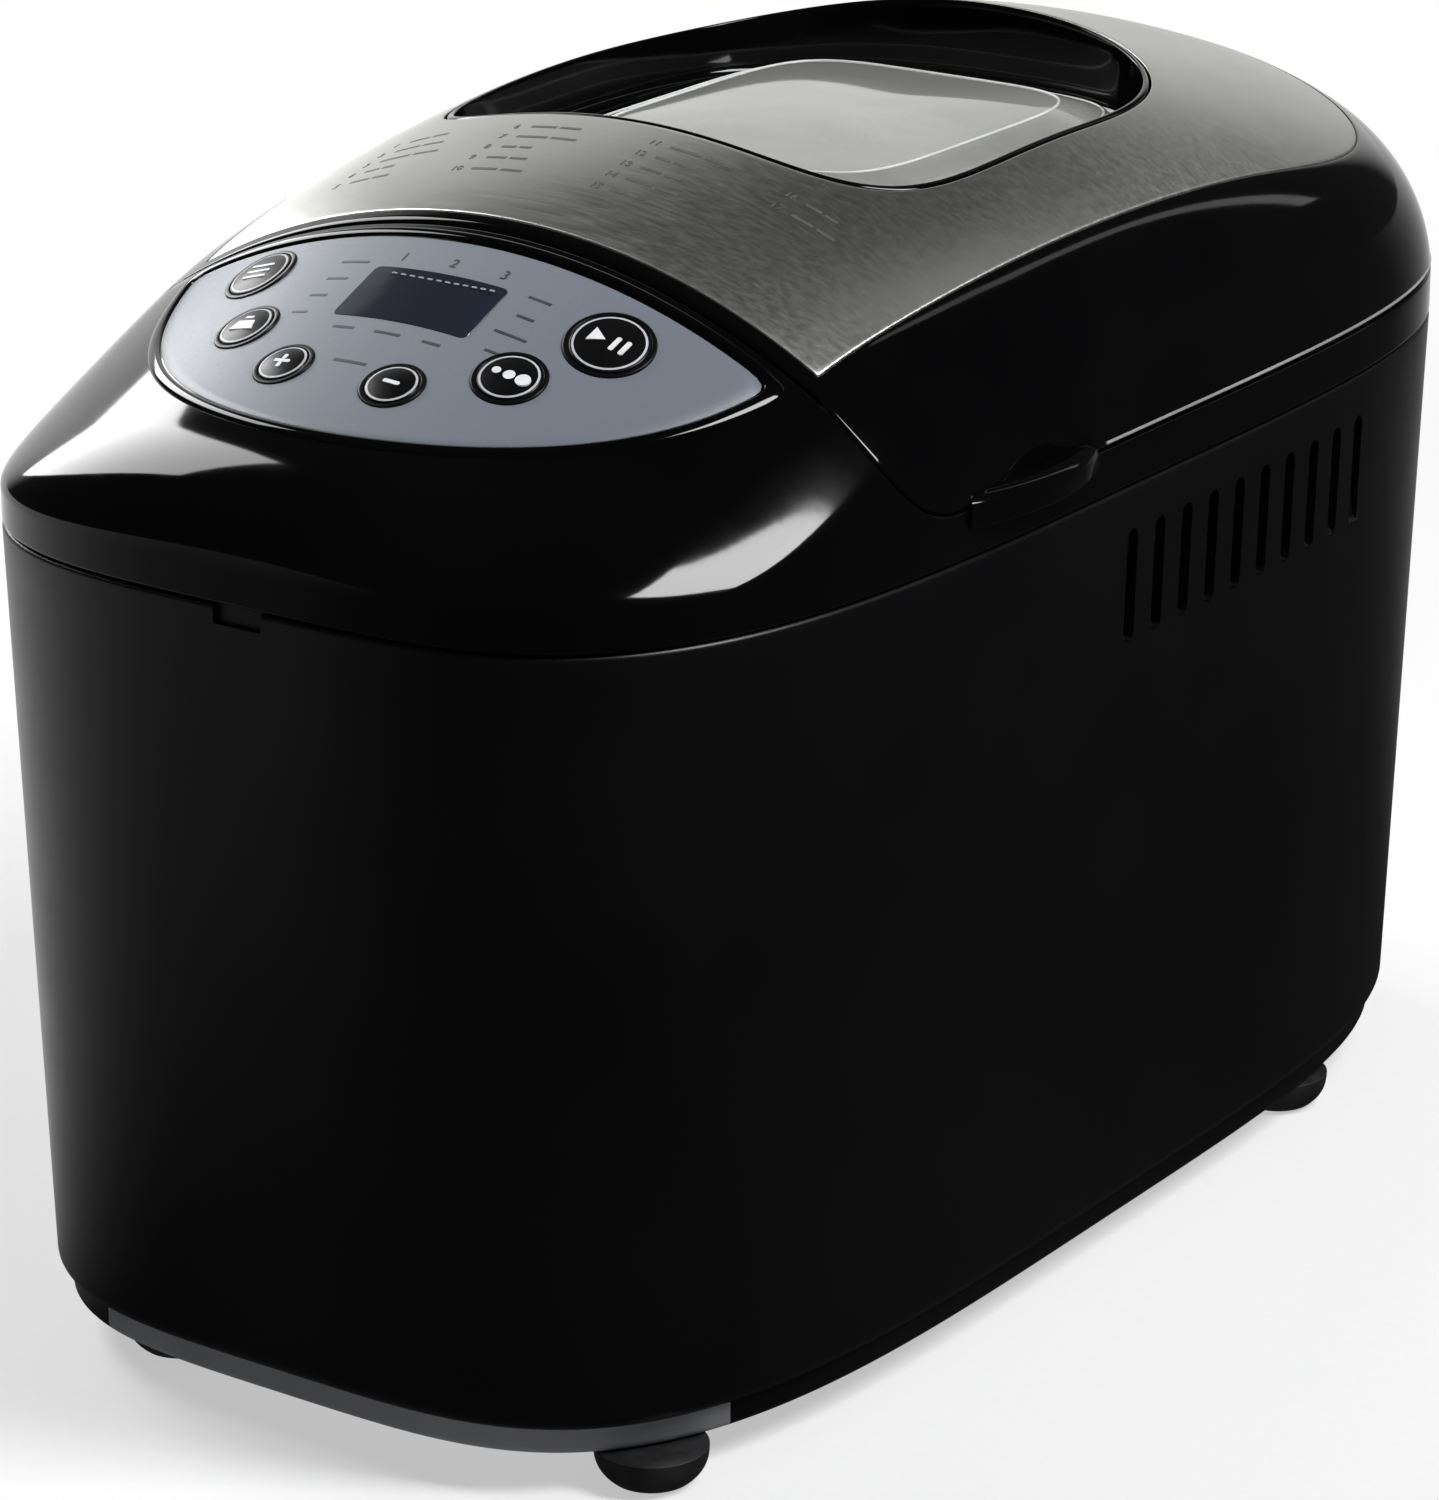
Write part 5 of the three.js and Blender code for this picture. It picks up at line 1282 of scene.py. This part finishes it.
# short bars and plain numbers printed on the film round the display
filmPrint = {
    "rise": panel["filmRise"] + 0.08,
    "thick": 0.1,
    "sideBars": ((8.4, 6.6), (6.2, 5.0), (5.0, 9.2), (4.4, 6.4)),  # lengths on the left and on the right
    "sidePitch": 6.3,
    "lowerBars": ((-13, -155.6, 6.2, 0.8), (0, -155.6, 7.6, 0.8), (13, -155.6, 5.2, 0.8),
                  (-2.6, -166.6, 9.5, 0.9)),
    "numbers": {"1": -14.5, "2": 0.5, "3": 15.5},  # X of each
    "numberY": -129.6,
    "numberSize": 4.2,
}


def printPanel():
    p, bars = filmPrint, []
    for i, (left, right) in enumerate(p["sideBars"]):
        y = display["y"] + 10.5 - p["sidePitch"] * i
        bars += [(-27.5 - 0.84 * i, y, left, 0.75), (28.5 + 0.3 * i, y - 1.5, right, 0.75)]
    printedBars("panelBars", bars + list(p["lowerBars"]), p["rise"], p["thick"], greyPrint, "base", (),
                "panel_film")
    for text, x in p["numbers"].items():
        printedNumber("panelNumber" + text, text, x, p["numberY"], p["numberSize"], p["rise"], greyPrint,
                      "base")


printPanel()
print("panel built")

body = {
    "top": 213.3,
    "bottomRoll": 5,
    "topRoll": 1.4,
    "ventCount": 10,
    "ventFront": -11.3,
    "ventPitch": 13.3,
    "ventWidth": 5,
    "ventLow": 172,
    "ventHigh": 202,
    "notchHalf": 7,
    "notchLow": 208.6,
    "notchDeep": 1.6,
}
sides = {"Left": -1, "Right": 1}
ventMiddles = [body["ventFront"] + body["ventPitch"] * i for i in range(body["ventCount"])]


def casingRow(height, inset, count=180):
    return atHeight(casingOutline(narrowing(height) + inset, count), height)


# casing shell: rolled bottom edge, wall, rolled top edge, inner wall, with vents and the front notch cut out
def makeBody():
    low, high, wall = casing["bottom"], body["top"], casing["wall"]
    roll, top = body["bottomRoll"], body["topRoll"]
    half, vent = body["ventWidth"] / 2, (body["ventLow"], body["ventHigh"])
    rows = [casingRow(low + height, inward) for inward, height in footQuarter(roll, 7)]
    rows += [casingRow(z, 0) for z in np.linspace(low + roll, high - top, 26)[1:]]
    rows += [casingRow(high - top + height, inward) for inward, height in quarter(top)[1:]]
    rows += [casingRow(z, wall) for z in (high - 0.2, 150, 90, low + roll + wall)]
    rows.append(casingRow(low, roll + wall))
    shell = rowPiece("bodyShell", rows[::-1], satinBlack, "base", "body_shell", "satin_black", ends="joined")
    slots = [(rounded(y - half, y + half, *vent, half - 0.01, 6), side * 108, side * 125)
             for side in sides.values() for y in ventMiddles]
    vents = makePiece("cutter", *prisms(slots, lambda y, z, x: (x, y, z)))
    notch = box(-body["notchHalf"], body["notchHalf"], -casing["halfDepth"] - 5,
                body["notchDeep"] - casing["halfDepth"], body["notchLow"], high + 4)
    carve(shell, [vents, notch], 34)


# louvre backs: a sloping blade behind each slot, so that the inside doesn't show
def makeLouvres():
    low, high, half = body["ventLow"], body["ventHigh"], body["ventWidth"] / 2 + 0.6
    blade = [(0.1, low - 0.6), (2.4, low + 0.6), (7.4, high - 1), (6.4, high - 0.4), (1.5, low + 1.8),
             (0.1, low + 0.6)]
    wallX = casing["halfWidth"] - narrowing((low + high) / 2) - casing["wall"] + 0.2
    for sideName, side in sides.items():
        blades = [(blade, y - half, y + half) for y in ventMiddles]
        makePiece("ventLouvres" + sideName, *prisms(blades, lambda inward, z, y: (side * (wallX - inward), y, z)),
                  satinBlack, "base", (), "satin_black", smooth=20)


makeBody()
makeLouvres()

base = {
    "inset": 8.4,
    "low": 9.5,
    "high": 22,
    "roll": 2.2,
    "apron": {"left": -58, "rear": -157},  # the grey strip under the front ends at these x and y
    "slots": {"x": range(-44, 45, 11), "y": (-60, 90), "half": (2, 22)},
    "feet": {"foot_front_left": (-52, -181), "foot_front_right": (88, -174),
             "foot_rear_left": (-97, 113), "foot_rear_right": (97, 113)},
    "footRadius": 14,
    "footContact": 9.2,
    "footHeight": 9.2,
    "footHollow": 0.5,
    "footTop": 0.25,
}


# tray under the body: ribbed by its underside's steps, with cooling slots
def makeBase():
    low, high, roll = base["low"], base["high"], base["roll"]
    row = lambda z, inset: atHeight(casingOutline(base["inset"] + inset, 180), z)
    rows = [row(low + 2, i) for i in (90, 60, 30, 8)] + [row(low + 1.2, 7), row(low, 5.6)]
    rows += [row(low + height, inward) for inward, height in footQuarter(roll, 6)]
    rows += [row(low + roll + 3, 0), row(high - 0.6, 0), row(high, 0.6), row(high, 3)]
    rows += [row(low + 4.6, 3.4), row(low + 4.6, 90)]
    plate = rowPiece("basePlate", rows, [greyBase, satinBlack], "base", "base_plate", "dark_grey")
    for face in plate.data.polygons:
        x, y, _ = face.center / millimetre
        face.material_index = int(y > base["apron"]["rear"] or x < base["apron"]["left"])
    halfX, halfY = base["slots"]["half"]
    slots = [(rounded(x - halfX, x + halfX, y - halfY, y + halfY, halfX - 0.1, 5), low - 2, low + 10)
             for y in base["slots"]["y"] for x in base["slots"]["x"]]
    carve(plate, [makePiece("cutter", *prisms(slots))], 34)


# rubber foot, hollow under its middle and swelling from a narrow contact ring
def makeFoot(name, x, y):
    height, contact = base["footHeight"], base["footContact"]
    radius, hollow = base["footRadius"], base["footHollow"]
    profile = [(0, hollow), (contact - 2.4, hollow), (contact - 1.6, 0), (contact - 0.8, 0)]
    profile += [(contact + (radius - contact) * (1 - (1 - share) ** 2.7), height * share)
                for share in np.linspace(0.06, 1, 16)]
    profile += [(radius - 0.4, height + base["footTop"]), (0, height + base["footTop"])]
    turnedPiece(name.replace("_", "") + "Pad", profile, footRubber, "base", name, "foot_rubber",
                place=Matrix.Translation((x, y, 0)))


makeBase()
for name, (x, y) in base["feet"].items():
    makeFoot(name, x, y)
print("body and base built")

# plain numbers and short bars printed on the steel, where a list of settings is on such a machine
printing = {
    "columns": {-64: 5, -26: 5, 16: 5, 56: 2},  # X of each column, and how many lines it has
    "top": -66,
    "pitch": 6.2,
    "size": 3.4,
    "barHeight": 1.1,
}


def printList():
    line, bars = 0, []
    for x, count in printing["columns"].items():
        for i in range(count):
            line += 1
            y = printing["top"] - printing["pitch"] * i
            printedNumber("coverNumber" + str(line), str(line), x - 2, y, printing["size"], 0.04, steelPrint,
                          "lid")
            length = 8 + 3 * ((line * 5) % 4)
            for start, share in ((2.5, 0.55), (3.6 + 0.55 * length, 0.45)):
                bars.append((x + start + share * length / 2, y, share * length, printing["barHeight"]))
    printedBars("coverBars", bars, 0.05, 0.05, steelPrint, "lid", (), "dark_grey")


printList()


# points along straight runs joined by round bends
def bentPath(points, bend, steps=9):
    points = [Vector(p) for p in points]
    path = [points[0]]
    for before, corner, after in zip(points, points[1:], points[2:]):
        into, away = (before - corner).normalized(), (after - corner).normalized()
        start, end = corner + into * bend, corner + away * bend
        for t in np.linspace(0, 1, steps + 1):
            path.append(start * (1 - t) ** 2 + corner * (2 * t * (1 - t)) + end * t ** 2)
    return path + [points[-1]]


# round rod along a line of points, one cross-section per point
def sweptRod(name, path, radius, *fitting, sides=20, ends="filled", smooth=50):
    path = np.asarray(path, float)
    ahead = np.roll(path, -1, 0) - np.roll(path, 1, 0)
    if ends == "filled":
        ahead[0], ahead[-1] = path[1] - path[0], path[-1] - path[-2]
    side = np.cross(ahead, [0, 0, 1])
    other = np.cross(side, ahead)
    side, other = (v / np.linalg.norm(v, axis=1, keepdims=True) for v in (side, other))
    turns = np.linspace(0, 2 * math.pi, sides, endpoint=False)
    rows = [[point + radius * (math.cos(a) * s + math.sin(a) * o) for a in turns]
            for point, s, o in zip(path, side, other)]
    rowPiece(name, rows, *fitting, ends=ends, smooth=smooth)


# pale lines on the glass, partly its ground edge and partly a painted highlight along its rim and ridge: a little
# brighter than the pane
glassEdge = mouldedMaterial("groundGlassEdge", "#c9ccca", "#dcdedc", 0.2, 0.3, cloud=20, grain=0.6, depth=0.003,
                            IOR=1.45)
# light grey line on the edge of the gloss moulding: a painted highlight
edgeHighlightPaint = mouldedMaterial("polishedEdge", "#7d7e7d", "#969796", 0.15, 0.22, cloud=60, grain=0.8, depth=0.003,
                             IOR=1.5)
# pale lines on the glass, a ground edge and painted highlights, each (inset, height, radius)
glassLines = {
    "glassRim": (1.5, glassEdgeTop + 0.1, 0.32),
    "glassRidge": (1.3 + window["border"], glassEdgeTop + window["borderRise"] - 0.05, 0.4),
}
for name, (inset, height, radius) in glassLines.items():
    sweptRod(name, fullRing(atHeight(glassToward(inset, coverHalf(0)), height)), radius, glassEdge, "lid", (),
             "clear_glass", sides=8, ends="joined", smooth=60)

lidBead = {"radius": 0.42, "rise": 0.2, "afterLip": 3, "sunk": 0.5}  # sunk into the rear, to keep the depth


# light grey bead along the lid's lower edge, from behind one lip round the rear to the other: a painted highlight
# line
def makeLidBead():
    low = lid["edge"] + lid["edgeRoll"] + lidBead["rise"]
    start = lid["lipMiddle"] + lid["lipLength"] / 2 + lidBead["afterLip"]
    places = np.linspace(flankPlace(np.array([start]), np.array([low]))[0], 0.9995, 170)
    line = upperPoint(places, flankLevel(places, np.full(len(places), low)))
    line[:, 1] *= 1 - lidBead["sunk"] / casing["halfDepth"]
    sweptRod("lidEdgeBead", np.vstack([line, line[::-1] * [-1, 1, 1]]), lidBead["radius"], edgeHighlightPaint, "lid", (),
             "gloss_black", sides=8, smooth=60)


makeLidBead()

drive = {"front": -24, "rear": 92, "shaft": 4, "couplingHole": 17}
shaftHole = drive["shaft"] + gap


def holeCutter(y, z, radius, steps):
    profile = [(0, -8), (radius, -8), (radius, 8), (0, 8)]
    return turnedPiece("cutter", profile, place=Matrix.Translation((0, y, z)), steps=steps)


# aluminised sheet that has been through some baking: soft grey with a warm cast low down
def bakedSheet():
    material, tree, shader, place = startMaterial("aluminisedOvenSheet", {"Metallic": 1.0})
    height = addNode(tree, "ShaderNodeSeparateXYZ", {"Vector": place}).outputs["Z"]
    spangle = addNode(tree, "ShaderNodeTexNoise", {
        "Vector": place, "Scale": scaleFor(6), "Detail": 4, "Roughness": 0.6,
    })
    rise = addNode(tree, "ShaderNodeMapRange", {"Value": height, "From Min": 0.06, "From Max": 0.22})
    blend = addNode(tree, "ShaderNodeMix", {"Factor": 0.4, 2: rise, 3: spangle}, data_type="FLOAT")
    dress(tree, shader, blend, [(0.15, "#857d73"), (0.45, "#9c9a96"), (0.8, "#b3b4b4")], spangle, (0.3, 0.46),
          spangle, 0.006)
    return material


# pressed tub: rounded floor edge, plain walls, flange folded out at the top
def makeTub():
    floor, wall, press, rim = chamber["floor"], chamber["wall"], chamber["press"], lid["edge"]
    row = lambda grow, z: atHeight(chamberPlan(grow), z)
    rows = [row(wall - inward, floor - wall + height) for inward, height in footQuarter(press, 6)]
    rows += [row(wall, z) for z in np.linspace(80, rim - 1, 8)]
    rows += [row(grow, rim + z) for grow, z in ((wall + 0.8, 0), (chamber["flange"], 0), (chamber["flange"], wall),
                                                (1.6, wall), (0.5, wall - 0.3), (0, wall - 1.2))]
    rows += [row(0, z) for z in np.linspace(200, 76, 6)]
    rows += [row(-inward, floor + height) for inward, height in footQuarter(press, 6)[::-1]]
    tub = rowPiece("ovenTub", rows, bakedSheet(), "base", "oven_chamber", "sheet_steel")
    carve(tub, [holeCutter(drive[at], floor, drive["couplingHole"], 48) for at in ("front", "rear")])


heater = {"radius": 3.5, "z": 75, "inset": 7, "endX": 18, "bend": 7, "behind": 14}


def makeHeater():
    side, front = chamber["halfWidth"] - heater["inset"], chamber["front"] + heater["inset"]
    rear, end = chamber["rear"] - heater["inset"], chamber["front"] - heater["behind"]
    x = heater["endX"]
    corners = [(-x, end), (-x, front), (-side, front), (-side, rear), (side, rear), (side, front), (x, front),
               (x, end)]
    path = bentPath([(px, py, heater["z"]) for px, py in corners], heater["bend"])
    sweptRod("heatingLoop", path, heater["radius"], heaterSteel, "base", "heating_element", "coated_metal")


makeTub()
makeHeater()

pan = {
    "halfWidth": 66,
    "halfLength": 122,
    "taper": 6,
    "floor": 72,
    "rim": 196,
    "wall": 1.5,
    "corner": 20,
    "lip": 3,
    "lipRound": 1.2,
    "press": 8,
    "lug": 6,
    "lugs": ((-48, 0), (48, 0), (0, -96), (0, 96)),
    "boss": 10,
    "bossTop": 84,
    "ear": 7,
    "earThick": 1.2,
    "earBelow": 14,
    "bail": 200,
    "bailReach": 55,
    "bailInset": 6,
    "bailBend": 3.4,
    "wire": 2.2,
}
pan["middle"] = (drive["front"] + drive["rear"]) / 2


def panPlan(grow, height):
    narrow = pan["taper"] * (pan["rim"] - height) / (pan["rim"] - pan["floor"]) - grow
    x, y = pan["halfWidth"] - narrow, pan["halfLength"] - narrow
    return rounded(-x, x, pan["middle"] - y, pan["middle"] + y, max(pan["corner"] - narrow / 2, 3), 12)


# drawn pan: rounded floor edge, tapered walls and a rim rolled outwards
def makePan():
    floor, rim, wall, press, lip, curl = (pan[key] for key in ("floor", "rim", "wall", "press", "lip", "lipRound"))
    row = lambda grow, z: atHeight(panPlan(grow, z), z)
    rows = [row(-inward, floor + height) for inward, height in footQuarter(press, 8)]
    rows += [row(0, z) for z in np.linspace(floor + press + 8, rim - 3.4, 14)] + [row(0.6, rim - 2.6)]
    rows += [row(lip - curl * (1 - math.cos(a)), rim - 1.25 * (1 - math.sin(a)))
             for a in np.linspace(-math.pi / 2, math.pi / 2, 9)]
    rows += [row(0.4, rim), row(0.5 - wall, rim - 0.2), row(-wall, rim - 0.9)]
    rows += [row(-wall, z) for z in np.linspace(rim - 8, floor + wall + press + 4, 14)]
    rows += [row(-wall - inward, floor + wall + height) for inward, height in footQuarter(press, 8)[::-1]]
    piece = rowPiece("breadPan", rows, nonStick, "pan", "bread_pan", "coated_metal")
    carve(piece, [holeCutter(drive[at], floor, shaftHole, 32) for at in ("front", "rear")])


# boss round each shaft and lugs that the pan stands on
def makePanFittings():
    low, high, radius, bend = pan["floor"] + pan["wall"] - 0.4, pan["bossTop"], pan["boss"], 1.2
    profile = [(shaftHole, low), (radius + 3, low), (radius + 1.2, low + 0.9), (radius, low + 2.6)]
    profile += [(radius - 0.6, high - bend)]
    profile += [(radius - 0.6 - i, high - bend + h) for i, h in quarter(bend, 4)]
    profile += [(shaftHole + 0.4, high), (shaftHole, high - 0.4)]
    for at in ("front", "rear"):
        turnedPiece("panBoss_" + at, profile, nonStick, "pan", (), "coated_metal",
                    place=Matrix.Translation((0, drive[at], 0)), ends="joined", steps=48)
    foot, top, lug = chamber["floor"] + gap, pan["floor"] + 0.3, pan["lug"]
    profile = [(0, foot), (lug - 0.8, foot), (lug, foot + 0.8), (lug, top), (0, top)]
    for i, (x, y) in enumerate(pan["lugs"]):
        turnedPiece("panLug_" + str(i + 1), profile, nonStick, "pan", (), "coated_metal", steps=40,
                    place=Matrix.Translation((x, pan["middle"] + y, 0)))


# riveted ear with a hole for the handle at each end of the pan
def makeEars():
    low, high, half, thick = pan["rim"] - pan["earBelow"], pan["bail"], pan["ear"], pan["earThick"]
    shape = [(1 - half, low), (half - 1, low), (half, low + 1), (half, high)]
    shape += [(half * math.cos(a), high + half * math.sin(a)) for a in np.linspace(0, math.pi, 21)[1:-1]]
    shape += [(-half, high), (-half, low + 1)]
    shape = evenly(shape + shape[:1], 72)[:-1]
    angles = np.arctan2(shape[:, 1] - high, shape[:, 0])
    hole = [0, high] + (pan["wire"] + gap) * np.column_stack([np.cos(angles), np.sin(angles)])
    for name, sign in (("front", -1), ("rear", 1)):
        face = pan["middle"] + sign * pan["halfLength"]
        rows = [[(x, face + sign * depth, z) for x, z in outline] for outline, depth in (
            (shape, 0), (shape, thick - 0.3), (shape * [0.96, 1], thick), (hole, thick), (hole, 0))]
        rowPiece("panEar_" + name, rows, wireSteel, "pan", (), "sheet_steel", ends="joined")


def makeBail():
    end, arm, reach = pan["halfLength"] + 3, pan["halfLength"] - pan["bailInset"], pan["bailReach"]
    corners = [(0, -end), (0, -arm), (reach, -arm), (reach, arm), (0, arm), (0, end)]
    path = bentPath([(x, pan["middle"] + y, pan["bail"]) for x, y in corners], pan["bailBend"])
    sweptRod("panHandle", path, pan["wire"], wireSteel, "handle", "pan_handle", "sheet_steel")


makePan()
makePanFittings()
makeEars()
makeBail()

paddle = {
    "hub": 8.5,
    "top": 108,
    "topRound": 2,
    "reach": 38,
    "height": 16,
    "round": 1.4,
}


# cast kneading paddle: a tapered hub with a blade that thins towards its tip
def makePaddle(at):
    y, low, hub, top, bend = drive[at], pan["bossTop"] + gap, paddle["hub"], paddle["top"], paddle["topRound"]
    profile = [(shaftHole, low), (hub - 0.5, low), (hub, low + 0.5), (hub - 0.8, top - bend)]
    profile += [(hub - 0.8 - i, top - bend + h) for i, h in quarter(bend, 6)]
    profile += [(0, top), (0, top - 4 + gap), (shaftHole, top - 4 + gap)]
    piece = turnedPiece("kneadingPaddle_" + at, profile, nonStick, "kneader_" + at, "kneading_paddle_" + at,
                        "coated_metal", place=Matrix.Translation((0, y, 0)), ends="joined", steps=48)
    reach, edge = paddle["reach"], paddle["round"]
    outline = np.array([(-3, 3 - hub), (3, 3 - hub), (3.6, 4), (4, 10), (3.8, 18), (3.3, 26), (2.8, reach - 3),
                        (1.6, reach - 0.8), (0, reach), (-1.6, reach - 1.2), (-3, reach - 4), (-3.6, 26),
                        (-4.4, 18), (-5, 12), (-4.4, 5)])
    outline = evenly(np.vstack([outline, outline[:1]]), 60)[:-1]
    middle = outline.mean(0)
    away = np.maximum(np.linalg.norm(outline - middle, axis=1), 3.5)[:, None]
    shoulder = paddle["height"] - 2 * edge
    steps = [(edge, 0), (edge * 0.3, edge * 0.3), (0, edge), (0, shoulder)]
    steps += [(inward, shoulder + height) for inward, height in quarter(2 * edge, 6)[1:]]
    rings = [atHeight(outline + (middle - outline) * np.minimum(0.9, inward / away) + [0, y], low + rise)
             for inward, rise in steps]
    combine(piece, rowPiece("blade", rings, nonStick), "UNION")
    softenFaces(piece, 40)


for at in ("front", "rear"):
    makePaddle(at)
print("oven, pan and paddles built")

seal = {"width": 4, "inset": 1, "top": 232 - gap, "lip": 1.6}


# moulded silicone ring with a rounded lip, between the oven's flange and the lid's liner
def makeSeal():
    low, lip, half = lid["edge"] + chamber["wall"] + gap, seal["lip"], seal["width"] / 2
    outer = chamber["flange"] - seal["inset"]
    inner, middle = outer - seal["width"], outer - half
    rows = [atHeight(chamberPlan(grow), z)
            for grow, z in ((outer, seal["top"]), (inner, seal["top"]), (inner, low + lip))]
    rows += [atHeight(chamberPlan(middle + half * math.cos(a)), low + lip * (1 - math.sin(a)))
             for a in np.linspace(math.pi, 0, 9)]
    rowPiece("lidSeal", rows, sealSilicone, "lid", "lid_seal", "silicone", ends="joined")


makeSeal()

gland = {"x": -40, "z": 40, "tube": 5.6, "collar": 9, "nut": 8, "bore": 3.5, "round": 1.6}


# nylon bushing in the rear wall, with its nut inside; no cord is fitted
def makeGland():
    bore, tube, collar, nut, bend = (gland[key] for key in ("bore", "tube", "collar", "nut", "round"))
    narrow, inside = narrowing(gland["z"]), -casing["wall"] - 4
    share = (abs(gland["x"]) - collar) / (casing["halfWidth"] - narrow)
    wall = (casing["halfDepth"] - narrow) * (1 - share ** casing["power"]) ** (1 / casing["power"])
    profile = [(bore, inside - 6), (tube, inside - 6), (tube, inside - 2), (nut, inside - 2), (nut, inside),
               (tube, inside), (tube, gap), (collar, gap), (collar, 1.4)]
    profile += [(collar - i, 1.4 + h) for i, h in quarter(bend)]
    profile += [(bore + 1.2, 3), (bore + 0.3, 2.6), (bore, 1.6)]
    place = Matrix.Translation((gland["x"], wall, gland["z"])) @ Matrix.Rotation(-math.pi / 2, 4, "X")
    turnedPiece("cordBushing", profile, innerBlack, "base", "cord_gland", "satin_black", place=place,
                ends="joined", steps=48)


makeGland()

# parts that keep their shape, by the start of their names
finishes = {
    "control_board": boardGreen,
    "power_board": boardGreen,
    "display_module": innerBlack,
    "chassis_frame": sheetSteel,
    "drive_bearing": castMetal,
    "drive_shaft": wireSteel,
    "drive_pulley": whiteMoulding,
    "belt": beltRubber,
    "motor": castMetal,
    "motor_rotor": wireSteel,
    "heater_terminal_block": whiteMoulding,
    "temperature_sensor": wireSteel,
    "pan_clip": wireSteel,
    "kneader_shaft": wireSteel,
    "lid_liner": sheetSteel,
    "inner_glass": clearGlass,
    "hinge_bracket": sheetSteel,
    "hinge_pin": wireSteel,
}
for name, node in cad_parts.items():
    family = max((key for key in finishes if name.startswith(key)), key=len, default=None)
    if family:
        for slot in node.material_slots:
            slot.material = finishes[family]
print("finishes given to the inner parts")
